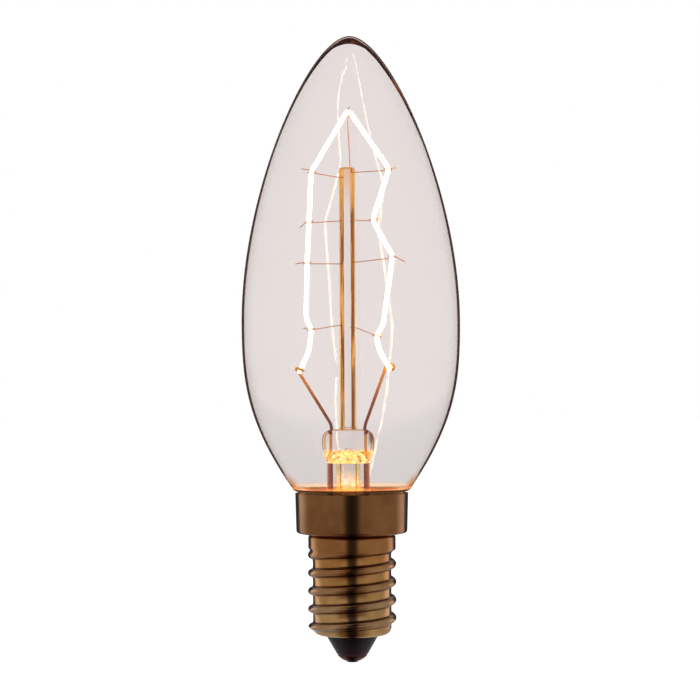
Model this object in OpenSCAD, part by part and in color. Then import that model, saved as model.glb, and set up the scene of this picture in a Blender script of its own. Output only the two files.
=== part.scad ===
// Filament lamp with a candle-shaped glass and a small Edison screw cap.
// The origin is at the foot of the contact, +Z runs up the lamp's axis, and the leads lie along X.
// All sizes are in millimetres.

/* [Glass envelope] */
// Height of the lamp, from the contact to the glass tip
lamp_height = 98; // [94:0.5:104]
// Largest outside diameter of the glass
glass_diameter = 34.2; // [31:0.1:37]
// Height of the widest part of the glass above the contact
equator_height = 53.2; // [50:0.1:57]
// Wall of the glass at its widest part
glass_wall = 0.5; // [0.4:0.05:0.7]
// Wall of the glass at the tip, where it gathers
tip_wall = 1.4; // [0.8:0.1:2.2]
// Reach of the curve at the tip: more gives a blunter tip
tip_reach = 6.3; // [4:0.1:8]
// Reach of the upper flank's curve: more gives fuller shoulders
upper_reach = 20.3; // [14:0.1:24]
// Reach of the lower flank's curve at the widest part
lower_reach = 9; // [6:0.1:12]
// Reach of the lower flank's curve where it meets the collar
under_reach = 12.9; // [9:0.1:14]
// Slope of the lower flank where it meets the collar, in degrees
under_slope = 55.5; // [45:0.5:65]
// How far the glass overhangs the collar's edge
glass_overhang = 0.35; // [0.2:0.05:0.6]
// Height of the glass's lower edge above the collar's rim
glass_lift = 0.6; // [0.5:0.05:0.9]
// Length of the neck inside the collar
neck_length = 5.15; // [4.5:0.05:5.3]

/* [Stem glass] */
// Outside diameter of the flare's tube
flare_diameter = 6.8; // [6.6:0.1:7.4]
// Wall of the flare
flare_wall = 0.6; // [0.4:0.05:0.65]
// Height of the flare's tube above the collar's rim
flare_rise = 4.75; // [4:0.05:6]
// Width of the press
press_width = 8.2; // [7.6:0.1:9.4]
// Thickness of the press
press_thickness = 3.6; // [3.2:0.1:4.4]
// Height of the press
press_height = 5.25; // [4.6:0.05:6.4]
// Outside diameter of the exhaust tube
exhaust_diameter = 3.8; // [3.2:0.1:4]
// Bore of the exhaust tube
exhaust_bore = 2.4; // [1.6:0.1:2.6]
// Height of the exhaust tube's sealed end above the contact
exhaust_end_height = 13.5; // [12.5:0.1:16]
// Diameter of the exhaust passage inside the press
vent_bore = 2.3; // [1.6:0.1:2.4]
// Diameter of the side hole that the air left by
vent_side_bore = 1.2; // [0.8:0.1:1.6]
// Diameter of the glass rod that carries the supports
rod_diameter = 2.6; // [2.2:0.1:2.8]
// Gap from the filament's peak down to the top of the rod
rod_peak_gap = 9.1; // [7.5:0.1:11]
// How far the stem stands to one side of the glass's axis, to the left where it is below zero
stem_offset = -0.5; // [-0.6:0.05:0.6]

/* [Filament] */
// Outside diameter of the wound filament
filament_diameter = 0.7; // [0.4:0.05:0.75]
// Radius at which the supports hold the filament, from the lamp's axis
cage_radius = 6.9; // [6.6:0.1:7.4]
// Gap from the glass tip down to the filament's peak
filament_tip_gap = 11.5; // [10:0.1:14]
// Shares of the rod's length at which the left supports hook on, from the top down
left_hook_shares = [0.027, 0.203, 0.366, 0.615]; // [0.01:0.001:0.68]
// Directions of the left supports, in degrees from the right-hand side
left_hook_angles = [209, 161, 191, 154.5]; // [120:0.5:240]
// Shares of the rod's length at which the right supports hook on, from the top down
right_hook_shares = [0.015, 0.215, 0.344, 0.65]; // [0.01:0.001:0.68]
// Directions of the right supports, in degrees from the right-hand side
right_hook_angles = [-29, -60.5, -18, -56]; // [-90:0.5:30]
// How far the left leg sags inwards above its lead
left_sag = 0.6; // [0:0.1:1]
// How far the right leg sags inwards above its lead
right_sag = 0.2; // [0:0.1:1]

/* [Wires] */
// Diameter of the support wires
support_diameter = 0.16; // [0.12:0.02:0.2]
// Depth to which a support is fused into the rod
support_embed = 0.8; // [0.5:0.05:0.95]
// Heights of the left supports' roots above their hooks, from the top down
left_root_rises = [-0.5, 0, -0.1, 0.5]; // [-1:0.1:2]
// Heights of the right supports' roots above their hooks, from the top down
right_root_rises = [-0.2, 0.4, -0.7, 1.5]; // [-1:0.1:2]
// Lengths of the left supports' tails, from the top down
left_tails = [2.2, 1.7, 2, 1]; // [0.6:0.1:2.4]
// Lengths of the right supports' tails, from the top down
right_tails = [1, 0.9, 2.2, 0.8]; // [0.6:0.1:2.4]
// Droops of the left supports' tails, in degrees
left_droops = [-4, 38, 12, 0]; // [-20:1:45]
// Droops of the right supports' tails, in degrees
right_droops = [5, 0, 28, 0]; // [-20:1:45]
// How far the top support's root stands to the right of the rod's middle
top_root_shift = 0.5; // [-0.6:0.05:0.6]
// Length of the top support's tail
top_tail = 1.1; // [0.6:0.1:2]
// Gap between the filament's side and a support's loop
hook_clearance = 0.2; // [0.15:0.01:0.3]
// Diameter of the inner leads
inner_lead_diameter = 0.5; // [0.4:0.05:0.55]
// Diameter of the wires sealed in the press
seal_wire_diameter = 0.4; // [0.3:0.05:0.5]
// Diameter of the copper leads below the press
outer_lead_diameter = 0.3; // [0.2:0.05:0.3]
// Diameter of the fusible wire
fuse_diameter = 0.12; // [0.1:0.01:0.18]
// Length of the fusible wire
fuse_length = 4; // [3:0.1:5]
// Distance of each lead from the middle of the press
lead_offset = 2.6; // [2.4:0.05:2.65]
// Depth to which the inner and outer leads enter the press
splice_depth = 0.8; // [0.5:0.05:1.2]
// Share of the rod's length up to the left lead's tip
left_lead_share = 0.22; // [0.18:0.005:0.24]
// Distance of the left lead's tip from the lamp's axis
left_lead_reach = 8.2; // [7:0.1:8.5]
// Share of the rod's length up to the right lead's tip
right_lead_share = 0.239; // [0.18:0.001:0.26]
// Distance of the right lead's tip from the lamp's axis
right_lead_reach = 5.5; // [5:0.1:7]

/* [Screw cap] */
// Thickness of the brass sheet
brass_thickness = 0.3; // [0.25:0.01:0.35]
// Diameter over the crests of the thread
thread_diameter = 13.85; // [13.7:0.01:13.9]
// Depth of the thread from crest to valley
thread_depth = 0.78; // [0.6:0.02:0.85]
// Rise of the thread in one turn
thread_pitch = 2.822; // [2.6:0.001:3]
// Width of a ridge at its foot
ridge_width = 1.6; // [1.3:0.05:1.9]
// Height of the first crest above the shell's lower edge, on the right-hand side
first_crest = 2.6; // [2.4:0.05:2.9]
// Height of the threaded part, from the shell's lower edge
thread_height = 13.9; // [12.5:0.1:15]
// Diameter of the plain band above the thread
band_diameter = 13.7; // [13.5:0.05:14]
// Height of the plain band
band_height = 1.65; // [1.2:0.05:2.2]
// Outside diameter of the collar at its rim
collar_diameter = 17.7; // [17.4:0.05:18.2]
// How much narrower the collar is at its foot
collar_taper = 0.3; // [0:0.05:0.4]
// Height of the collar above the plain band
collar_height = 6.6; // [6.2:0.05:7.5]
// Drop of the collar's underside from its edge to the band
collar_underside_drop = 0.35; // [0.2:0.05:0.6]
// Radius of the collar's lower corner
collar_corner = 0.45; // [0.35:0.05:0.8]
// Radius of the shell's lower corner
shell_corner = 1.1; // [0.7:0.05:1.3]
// Thickness of the cement between the neck and the collar
cement_thickness = 0.6; // [0.5:0.05:0.7]
// Depth of the cement's top below the collar's rim
cement_recess = 0.25; // [0.2:0.05:0.4]

/* [Contact] */
// Diameter of the black glass cone where it leaves the shell
insulator_diameter = 8.4; // [7.6:0.1:9]
// Height of the black glass cone between the contact and the shell
insulator_rise = 3.28; // [2.8:0.02:3.8]
// Height to which the black glass fills the shell, above the shell's floor
insulator_fill = 2.1; // [1.5:0.1:2.6]
// Diameter of the contact where it leaves the cone
contact_diameter = 4.6; // [4.2:0.1:5]
// Height of the rounded contact
contact_height = 1.02; // [0.8:0.02:1.2]
// Diameter of the flat worn on the foot of the contact
contact_flat = 1.6; // [1.2:0.1:2]
// Diameter of the solder in the eyelet's face
solder_diameter = 2.5; // [2.2:0.1:3]
// Outside diameter of the eyelet's shank
shank_diameter = 1.8; // [1.6:0.1:2]
// Bore of the eyelet's shank
shank_bore = 1.2; // [1:0.1:1.3]
// Radius of the solder spot on the collar's rim
side_solder_radius = 0.75; // [0.6:0.05:0.9]

/* [Hidden] */
$fn = 96;

// Heights of the cap, from the contact up
shell_bottom = contact_height + insulator_rise;
shell_floor = shell_bottom + brass_thickness;
band_bottom = shell_bottom + thread_height;
band_top = band_bottom + band_height;
collar_top = band_top + collar_height;
cement_top = collar_top - cement_recess;

// Radii of the cap
crest_radius = thread_diameter / 2;
valley_radius = crest_radius - thread_depth;
band_radius = band_diameter / 2;
collar_radius = collar_diameter / 2;
collar_inner_radius = collar_radius - brass_thickness;
collar_foot_radius = collar_radius - collar_taper / 2;

// The glass neck fills the collar but for its cement
neck_radius = collar_inner_radius - cement_thickness;
neck_bottom = collar_top - neck_length;
neck_cement_gap = 0.1;
neck_top = cement_top + neck_cement_gap;
shoulder_radius = collar_radius + glass_overhang;
shoulder_height = collar_top + glass_lift;
glass_radius = glass_diameter / 2;

// Heights of the stem, from the collar's rim up
press_bottom = collar_top + flare_rise;
press_top = press_bottom + press_height;
flare_radius = flare_diameter / 2;
rod_radius = rod_diameter / 2;
filament_peak_height = lamp_height - filament_tip_gap;
rod_top_height = filament_peak_height - rod_peak_gap;
rod_length = rod_top_height - press_top;
left_lead_x = stem_offset - lead_offset;
right_lead_x = stem_offset + lead_offset;
top_root_x = stem_offset + top_root_shift;

// Places along the leads
seal_bottom = press_bottom + splice_depth;
seal_top = press_top - splice_depth;
fuse_drop = 1;
fuse_top = collar_top - fuse_drop;
fuse_bottom = fuse_top - fuse_length;
shell_lead_height = neck_bottom - outer_lead_diameter;
shell_lead_radius = neck_radius + cement_thickness / 2;
wire_end_height = 0.5;

// Smoothness of the computed curves
upper_steps = 26;
lower_steps = 16;
turn_steps = 6;
corner_steps = 5;
thread_columns = 40;
rows_per_turn = 8;
wire_sides = 8;

// Point on a cubic curve with the four handles p
function cubic(p, t) =
    pow(1 - t, 3) * p[0] + 3 * pow(1 - t, 2) * t * p[1] + 3 * (1 - t) * t * t * p[2] + pow(t, 3) * p[3];

// Direction in which that curve runs
function cubic_heading(p, t) =
    unit(pow(1 - t, 2) * (p[1] - p[0]) + 2 * (1 - t) * t * (p[2] - p[1]) + t * t * (p[3] - p[2]));

function unit(v) = v / norm(v);

// Point beside that curve, a distance to the right of its heading
function cubic_beside(p, t, distance) =
    let (heading = cubic_heading(p, t))
    cubic(p, t) + distance * [heading.y, -heading.x];

// Points along an arc in the plane, from one angle to another
function arc(centre, radius, from, to, steps) =
    [for (i = [0:steps])
        let (angle = from + (to - from) * i / steps)
        centre + radius * [cos(angle), sin(angle)]];

function reversed(list) = [for (i = [len(list) - 1:-1:0]) list[i]];

// Closed solid through a stack of rings with the same number of points, each end capped flat
module ring_stack(rings) {
    count = len(rings[0]);
    last = len(rings) - 1;
    polyhedron(
        points = [for (ring = rings) each ring],
        faces = concat(
            [[for (i = [0:count - 1]) i]],
            [for (k = [0:last - 1], i = [0:count - 1])
                [k * count + i, (k + 1) * count + i, k * count + (i + 1) % count]],
            [for (k = [0:last - 1], i = [0:count - 1])
                [(k + 1) * count + i, (k + 1) * count + (i + 1) % count, k * count + (i + 1) % count]],
            [[for (i = [count - 1:-1:0]) last * count + i]]
        )
    );
}

// Ring of points round a wire at one point of its path, square to its heading
function wire_ring(point, heading, up, radius, sides) =
    let (across = unit(cross(heading, up)), over = cross(across, heading))
    [for (i = [0:sides - 1]) point + radius * (cos(360 * i / sides) * across + sin(360 * i / sides) * over)];

// Heading of a path at its point k: the mean of the runs on each side of it
function path_heading(path, k) =
    let (
        before = k == 0 ? [0, 0, 0] : unit(path[k] - path[k - 1]),
        after = k == len(path) - 1 ? [0, 0, 0] : unit(path[k + 1] - path[k])
    )
    unit(before + after);

// Round wire along a path; up is a direction that the path never runs along
module bent_wire(path, diameter, up, sides = wire_sides) {
    ring_stack([for (k = [0:len(path) - 1])
        wire_ring(path[k], path_heading(path, k), up, diameter / 2, sides)]);
}

// Path with each inner corner replaced by a short curve that starts bend_reach before it
function softened(path, bend_reach, steps) = [
    path[0],
    for (k = [1:len(path) - 2], i = [0:steps])
        corner_curve(path[k - 1], path[k], path[k + 1], bend_reach, i / steps),
    path[len(path) - 1]
];

function corner_curve(before, corner, after, bend_reach, t) =
    let (
        start = corner + bend_reach * unit(before - corner),
        end = corner + bend_reach * unit(after - corner)
    )
    pow(1 - t, 2) * start + 2 * (1 - t) * t * corner + t * t * end;

// Straight upright wire in the plane of the leads
module upright_wire(x, from, to, diameter) {
    translate([x, 0, from])
        cylinder(d = diameter, h = to - from);
}

// Outline of the glass from the neck's foot up to the tip, moved inwards by the wall times inset
upper_flank = [
    [glass_radius, equator_height],
    [glass_radius, equator_height + upper_reach],
    [tip_reach, lamp_height],
    [0, lamp_height]
];
lower_flank = [
    [shoulder_radius, shoulder_height],
    [shoulder_radius, shoulder_height] + under_reach * [cos(under_slope), sin(under_slope)],
    [glass_radius, equator_height - lower_reach],
    [glass_radius, equator_height]
];
neck_turn_rise = 0.6;
neck_turn_run = 0.7;
neck_turn = [
    [neck_radius, neck_top],
    [neck_radius, neck_top + glass_lift * neck_turn_rise],
    [shoulder_radius, shoulder_height] - glass_lift * neck_turn_run * [cos(under_slope), sin(under_slope)],
    [shoulder_radius, shoulder_height]
];

// The wall thickens late on the way up: a higher power keeps the gathered glass nearer to the tip
tip_gather = 4;

function envelope_outline(inset) = concat(
    [[neck_radius - glass_wall * inset, neck_bottom]],
    [for (i = [0:turn_steps]) cubic_beside(neck_turn, i / turn_steps, -glass_wall * inset)],
    [for (i = [1:lower_steps]) cubic_beside(lower_flank, i / lower_steps, -glass_wall * inset)],
    [for (i = [1:upper_steps - 1])
        let (t = i / upper_steps, wall = glass_wall + (tip_wall - glass_wall) * pow(t, tip_gather))
        cubic_beside(upper_flank, t, -wall * inset)],
    [[0, lamp_height - tip_wall * inset]]
);

module glass_envelope() {
    color([0.93, 0.91, 0.9, 0.3])
        rotate_extrude()
            polygon(concat(envelope_outline(0), reversed(envelope_outline(1))));
}

// Curve of the flare's outer face, from its straight tube out past the neck's wall, which trims it
neck_inner_radius = neck_radius - glass_wall;
flare_drop = 0.3;
flare_trim = 0.1;
flare_curve_top = collar_top - flare_drop;
flare_reach = neck_inner_radius + abs(stem_offset) + flare_trim;
flare_straight = 2.7;
flare_rim_run = 2.6;
flare_curve = [
    [flare_radius, flare_curve_top],
    [flare_radius, flare_curve_top - flare_straight],
    [flare_reach - flare_rim_run, neck_bottom + flare_wall],
    [flare_reach, neck_bottom + flare_wall]
];

function flare_outline(inset) = concat(
    [[flare_radius - flare_wall * inset, press_bottom]],
    [for (i = [0:lower_steps]) cubic_beside(flare_curve, i / lower_steps, flare_wall * inset)]
);

// The flare stands with the stem, and its rim is fused to the inside of the neck all round
module stem_flare() {
    color([0.95, 0.8, 0.62, 0.4])
        intersection() {
            translate([stem_offset, 0, 0])
                rotate_extrude()
                    polygon(concat(flare_outline(0), reversed(flare_outline(1))));
            translate([0, 0, neck_bottom - 1])
                cylinder(r = neck_inner_radius, h = press_bottom - neck_bottom + 2);
        }
}

// Sections of the press: a round foot on the tube, pinched to a flat slab with round shoulders
press_rows = 14;
press_points = 32;
shoulder_round = 1.6;
edge_round = 0.4;
pinch_share = 0.4;
swell_share = 0.61;
slab_flatness = 0.42;
vent_share = 0.4;

// Part of a rounded edge that is drawn, so that its last ring stays wider than a point
edge_share = 0.98;

function smooth(t) = let (c = min(max(t, 0), 1)) c * c * (3 - 2 * c);

// How far a rounded top edge of this radius draws in at a height
function drawn_in(height, radius) =
    let (u = min(max((height - (press_height - radius)) / radius, 0), 1))
    radius * (1 - sqrt(1 - u * u * edge_share));

function press_ring(t) =
    let (
        height = press_height * t,
        swell = sin(90 * min(t / swell_share, 1)),
        half_width = flare_radius + (press_width / 2 - flare_radius) * swell - drawn_in(height, shoulder_round),
        pinch = smooth(t / pinch_share),
        half_depth = flare_radius + (press_thickness / 2 - flare_radius) * pinch - drawn_in(height, edge_round),
        power = 1 - slab_flatness * pinch
    )
    [for (i = [0:press_points - 1])
        let (c = cos(360 * i / press_points), s = sin(360 * i / press_points))
        [
            half_width * sign(c) * pow(abs(c), power),
            half_depth * sign(s) * pow(abs(s), power),
            press_bottom + height
        ]];

// Rows crowd together towards the rounded top
function press_row_share(k) = sin(90 * k / press_rows);

vent_top = press_bottom + press_height * vent_share;

module stem_press() {
    color([0.97, 0.78, 0.5, 0.4])
        translate([stem_offset, 0, 0])
            difference() {
                ring_stack([for (k = [press_rows:-1:0]) press_ring(press_row_share(k))]);
                for (side = [-1, 1]) {
                    upright_wire(side * lead_offset, seal_top, press_top + 1, inner_lead_diameter);
                    upright_wire(side * lead_offset, seal_bottom - 0.5, seal_top + 0.5, seal_wire_diameter);
                    upright_wire(side * lead_offset, press_bottom - 1, seal_bottom, outer_lead_diameter);
                }
                translate([0, 0, press_bottom - 1])
                    cylinder(d = vent_bore, h = vent_top - vent_bore / 2 - press_bottom + 1);
                translate([0, 0, vent_top - vent_bore / 2]) {
                    sphere(d = vent_bore);
                    rotate([-90, 0, 0])
                        cylinder(d = vent_side_bore, h = flare_diameter);
                }
            }
}

// Glass tube down the middle of the flare, drawn to a point where it was melted shut;
// each point of the drawn end is [share of the tube's radius, share of the end's length]
tip_length = 3;
tip_outside = [[1, 1], [0.72, 0.5], [0.3, 0.12], [0, 0]];
tip_inside = [[0, 0.6], [0.6, 0.8], [1, 1.2]];

module exhaust_tube() {
    outer = exhaust_diameter / 2;
    inner = exhaust_bore / 2;
    color([0.95, 0.85, 0.68, 0.4])
        translate([stem_offset, 0, 0])
            rotate_extrude()
                polygon(concat(
                    [[outer, press_bottom]],
                    [for (p = tip_outside) [outer * p.x, exhaust_end_height + tip_length * p.y]],
                    [for (p = tip_inside) [inner * p.x, exhaust_end_height + tip_length * p.y]],
                    [[inner, press_bottom]]
                ));
}

// The rod's foot spreads a little where it was fused to the press, and its top edge is melted round
rod_foot_spread = 0.1;
rod_foot_height = 0.5;
rod_edge = 0.3;

module arbor_rod() {
    color([0.85, 0.5, 0.25, 0.5])
        difference() {
            translate([stem_offset, 0, 0])
                rotate_extrude()
                    polygon(concat(
                        [[0, press_top], [rod_radius, press_top]],
                        arc(
                            [rod_radius, press_top + rod_foot_height / 2],
                            rod_foot_spread, -90, 90, corner_steps
                        ),
                        [[rod_radius, press_top + rod_foot_height]],
                        arc([rod_radius - rod_edge, rod_top_height - rod_edge], rod_edge, 0, 90, corner_steps),
                        [[0, rod_top_height]]
                    ));
            for (i = [0:3]) {
                support_socket(left_hooks[i], left_root_rises[i]);
                support_socket(right_hooks[i], right_root_rises[i]);
            }
            upright_wire(top_root_x, rod_top_height - support_embed, rod_top_height + 1, support_diameter);
        }
}

// Hole in the rod that a support's root is fused into
module support_socket(hook, rise) {
    translate(support_root(hook, rise))
        rotate([0, 90, hook_angle(hook)])
            cylinder(d = support_diameter, h = rod_diameter);
}

// Leads: each leans out from the press, and its tip is bent round the filament's end
lead_gap = 0.06;
wrap_steps = 6;
wrap_angle = 210;
lead_knee_height = 0.9;
lead_knee_lean = 0.15;
lead_foot_rise = 0.2;
end_overlap = 0.4;
wrap_radius = inner_lead_diameter / 2 + filament_diameter / 2 + lead_gap;

function lead_x(side) = side < 0 ? left_lead_x : right_lead_x;

function lead_tip(side) = side < 0
    ? [-left_lead_reach, 0, press_top + left_lead_share * rod_length]
    : [right_lead_reach, 0, press_top + right_lead_share * rod_length];

function lead_knee(side) = [lead_x(side) + side * lead_knee_lean, 0, press_top + lead_knee_height];

function lead_heading(side) = unit(lead_tip(side) - lead_knee(side));

// Corners of the filament's route, at the supports
function cage_point(angle, share) =
    [cage_radius * cos(angle), cage_radius * sin(angle), rod_top_height - share * rod_length];

left_corners = [for (i = [0:3]) cage_point(left_hook_angles[i], left_hook_shares[i])];
right_corners = [for (i = [0:3]) cage_point(right_hook_angles[i], right_hook_shares[i])];
peak_offset = stem_offset / 2;
peak_corner = [peak_offset, 0, filament_peak_height];
kink_lift = 1.8;
kink_spread = 0.78;
kink_sideways = 0.3;

// The soft filament bulges outwards just above its lowest hooks
function kink_above(corner, above) =
    let (run = unit(above - corner), out = unit([corner.x, corner.y * kink_sideways, 0]))
    corner + run * kink_lift + out * kink_spread;

// It hangs slack between the lowest hook and the lead
function sag_above(side) =
    side < 0
    ? (left_corners[3] + lead_tip(side)) / 2 + [left_sag, 0, 0]
    : (right_corners[3] + lead_tip(side)) / 2 - [right_sag, 0, 0];

// The filament's end passes the lead's tip on the right, square to both of them
function end_run(side) = unit(sag_above(side) - lead_tip(side));

function lead_beside(side) = let (n = unit(cross(end_run(side), lead_heading(side)))) n * sign(n.x);

function clamp_heart(side) = lead_tip(side) + wrap_radius * lead_beside(side);

filament_route = [
    clamp_heart(-1) - end_overlap * end_run(-1),
    sag_above(-1),
    left_corners[3],
    kink_above(left_corners[3], left_corners[2]),
    left_corners[2],
    left_corners[1],
    left_corners[0],
    peak_corner,
    right_corners[0],
    right_corners[1],
    right_corners[2],
    kink_above(right_corners[3], right_corners[2]),
    right_corners[3],
    sag_above(1),
    clamp_heart(1) - end_overlap * end_run(1)
];
peak_index = 7;
filament_bend = 0.8;
bend_steps = 4;

// Where the middle of the filament's bend lies, which is what a hook goes round
function bend_middle(k) =
    corner_curve(filament_route[k - 1], filament_route[k], filament_route[k + 1], filament_bend, 0.5);

left_hook_indices = [6, 5, 4, 2];
right_hook_indices = [8, 9, 10, 12];
left_hooks = [for (k = left_hook_indices) bend_middle(k)];
right_hooks = [for (k = right_hook_indices) bend_middle(k)];
top_hook = bend_middle(peak_index);

module filament() {
    color([1, 0.86, 0.62])
        bent_wire(softened(filament_route, filament_bend, bend_steps), filament_diameter, [0, 1, 0]);
}

// Supports: each leaves the rod, makes one turn round the filament and ends in a tail
loop_radius = filament_diameter / 2 + hook_clearance + support_diameter / 2;
loop_steps = 12;
loop_climb = 0.36;
root_length = 0.5;
top_loop_share = 1.12;
top_loop_drop = 0.25;
support_up = [0, 0.01, 1];

function hook_angle(hook) = atan2(hook.y, hook.x - stem_offset);

function support_root(hook, rise) =
    let (angle = hook_angle(hook), inside = rod_radius - support_embed)
    [stem_offset + inside * cos(angle), inside * sin(angle), min(hook.z + rise, rod_top_height - 2 * rod_edge)];

// One turn of wire round a point, from the side axis towards the run axis, climbing along the third
function turn_points(centre, run, side, climb, radius) =
    [for (i = [0:loop_steps])
        let (a = 360 * i / loop_steps)
        centre + radius * (cos(a) * side + sin(a) * run) + climb * (i / loop_steps - 0.5)];

function support_path(hook, rise, tail, droop) =
    let (
        angle = hook_angle(hook),
        run = [cos(angle), sin(angle), 0],
        side = [-sin(angle), cos(angle), 0],
        root = support_root(hook, rise),
        turn = turn_points(hook, run, side, [0, 0, loop_climb], loop_radius)
    )
    concat(
        [root, root + run * (support_embed + root_length)],
        turn,
        [turn[loop_steps] + tail * (cos(droop) * run - [0, 0, sin(droop)])]
    );

module left_support(i) {
    path = support_path(left_hooks[i], left_root_rises[i], left_tails[i], left_droops[i]);
    color([0.55, 0.4, 0.36])
        bent_wire(path, support_diameter, support_up);
}

module right_support(i) {
    path = support_path(right_hooks[i], right_root_rises[i], right_tails[i], right_droops[i]);
    color([0.55, 0.4, 0.36])
        bent_wire(path, support_diameter, support_up);
}

module support_top() {
    root = [top_root_x, 0, rod_top_height - support_embed];
    turn = turn_points(
        top_hook - [0, 0, top_loop_drop], [0, 0, 1], [0, 1, 0], [loop_climb, 0, 0], loop_radius * top_loop_share
    );
    color([0.55, 0.4, 0.36])
        bent_wire(
            concat(
                [root, root + [0, 0, support_embed + root_length]],
                turn,
                [turn[loop_steps] + [0, 0, top_tail]]
            ),
            support_diameter, [1, 0, 0]
        );
}

module inner_lead(side) {
    heart = clamp_heart(side);
    inward = lead_beside(side);
    heading = lead_heading(side);
    over = unit(heading - (heading * end_run(side)) * end_run(side));
    wrap = [for (i = [0:wrap_steps])
        let (a = wrap_angle * i / wrap_steps)
        heart + wrap_radius * (sin(a) * over - cos(a) * inward)];
    color([0.55, 0.3, 0.18])
        bent_wire(
            concat(
                [[lead_x(side), 0, seal_top], [lead_x(side), 0, press_top + lead_foot_rise], lead_knee(side)],
                wrap
            ),
            inner_lead_diameter, end_run(side)
        );
}

module seal_wire(side) {
    color([0.7, 0.35, 0.2])
        upright_wire(lead_x(side), seal_bottom, seal_top, seal_wire_diameter);
}

module outer_lead_upper() {
    color([0.72, 0.4, 0.25])
        upright_wire(left_lead_x, fuse_top, seal_bottom, outer_lead_diameter);
}

module fuse_link() {
    color([0.7, 0.7, 0.72])
        upright_wire(left_lead_x, fuse_bottom, fuse_top, fuse_diameter);
}

// Runs down beside the exhaust tube, then to the middle and into the solder
lead_bend_gap = 1;

module outer_lead_contact() {
    knee = exhaust_end_height - lead_bend_gap;
    join = insulator_top + lead_bend_gap;
    color([0.72, 0.4, 0.25])
        bent_wire([
            [left_lead_x, 0, fuse_bottom],
            [left_lead_x, 0, knee],
            [0, 0, join],
            [0, 0, wire_end_height]
        ], outer_lead_diameter, [0, 1, 0]);
}

// Runs down inside the flare, out under the neck at the back and up through the cement
module outer_lead_shell() {
    color([0.72, 0.4, 0.25])
        bent_wire([
            [right_lead_x, 0, seal_bottom],
            [right_lead_x, 0, shell_lead_height],
            [0, shell_lead_radius, shell_lead_height],
            [0, shell_lead_radius, collar_top]
        ], outer_lead_diameter, [1, 0.3, 0]);
}

// The collar tapers slightly, from its rim down to the top of its lower corner
collar_corner_top = band_top + collar_underside_drop + collar_corner;
collar_arc = 80;

function collar_inner_at(height) =
    collar_inner_radius
    - (collar_radius - collar_foot_radius) * (collar_top - height) / (collar_top - collar_corner_top);

module basing_cement() {
    color([0.78, 0.66, 0.5])
        difference() {
            rotate_extrude()
                polygon([
                    [neck_radius, neck_bottom],
                    [collar_inner_at(neck_bottom), neck_bottom],
                    [collar_inner_at(cement_top), cement_top],
                    [neck_radius, cement_top]
                ]);
            translate([0, shell_lead_radius, shell_lead_height])
                cylinder(d = outer_lead_diameter, h = collar_top - shell_lead_height);
        }
}

// Ridge of the thread: its height above the valley at a share of a turn away from its crest.
// A lower fullness gives a rounder ridge.
ridge_fullness = 0.8;

function ridge(phase) =
    let (away = abs(phase - round(phase)) * thread_pitch / (ridge_width / 2))
    away < 1 ? thread_depth * pow(cos(90 * away), ridge_fullness) : 0;

// The threaded tube laps inside the rings above and below it, and is plain where it enters them
thread_embed = 0.25;
thread_skin = 0.05;
foot_rise = 0.3;
plain_lap = 0.15;
foot_top = shell_bottom + shell_corner + foot_rise;
tube_bottom = foot_top - thread_embed;
tube_top = band_bottom + thread_embed;
plain_bottom = foot_top + plain_lap;
plain_top = band_bottom - plain_lap;
run_out_bottom = 0.7;
run_out_top = 1.2;
row_rise = thread_pitch / rows_per_turn;
row_margin = 0.6;
first_row_shift = 1.7;
sliding_rows = floor((plain_top - plain_bottom) / row_rise - row_margin);
tube_rows = sliding_rows + 3;

// Height of a row of the tube: its inner rows slide round the tube, so that they follow the ridge
function row_height(row, column) =
    let (slide = (column * rows_per_turn / thread_columns) % 1)
    row == 0 ? tube_bottom
    : row == 1 ? plain_bottom
    : row == tube_rows - 1 ? plain_top
    : row == tube_rows ? tube_top
    : plain_bottom + (row - first_row_shift + slide) * row_rise;

// The ridge fades in above the foot, and the valley widens to the band at the top
function thread_radius(angle, height) =
    let (
        phase = (height - shell_bottom - first_crest) / thread_pitch - angle / 360,
        fade_in = smooth((height - plain_bottom) / run_out_bottom),
        fade_out = smooth((plain_top - height) / run_out_top)
    )
    valley_radius + (band_radius - valley_radius) * (1 - fade_out)
    + ridge(phase) * fade_in * fade_out
    - thread_skin * (1 - fade_in * fade_out);

function thread_point(row, column, inset) =
    let (
        angle = 360 * column / thread_columns,
        height = row_height(row, column),
        radius = thread_radius(angle, height) - inset
    )
    [radius * cos(angle), radius * sin(angle), height];

// Rolled tube with the thread pressed through its wall, closed at both ends by flat rings
module threaded_tube() {
    sheet = brass_thickness - 2 * thread_skin;
    rows = concat(
        [for (row = [0:tube_rows]) [row, 0]],
        [for (row = [tube_rows:-1:0]) [row, sheet]]
    );
    count = len(rows);
    polyhedron(
        points = [for (entry = rows, column = [0:thread_columns - 1]) thread_point(entry[0], column, entry[1])],
        faces = [for (k = [0:count - 1], i = [0:thread_columns - 1], half = [0, 1])
            let (
                a = k * thread_columns + i,
                b = k * thread_columns + (i + 1) % thread_columns,
                c = ((k + 1) % count) * thread_columns + (i + 1) % thread_columns,
                d = ((k + 1) % count) * thread_columns + i
            )
            half == 0 ? [a, d, c] : [a, c, b]]
    );
}

// Section of the collar, its underside and the plain band, at a depth inside the outer face;
// the band draws in to a groove under the collar
groove_depth = 0.3;
groove_rise = 0.2;

function collar_section(inset) = concat(
    [[band_radius - inset, band_bottom], [band_radius - inset, band_top - groove_rise - inset / 2]],
    [[band_radius - groove_depth - inset / 2, band_top + inset]],
    arc(
        [collar_foot_radius - collar_corner, collar_corner_top],
        collar_corner - inset, -collar_arc, 0, corner_steps
    ),
    [[collar_radius - inset, collar_top]]
);

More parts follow.
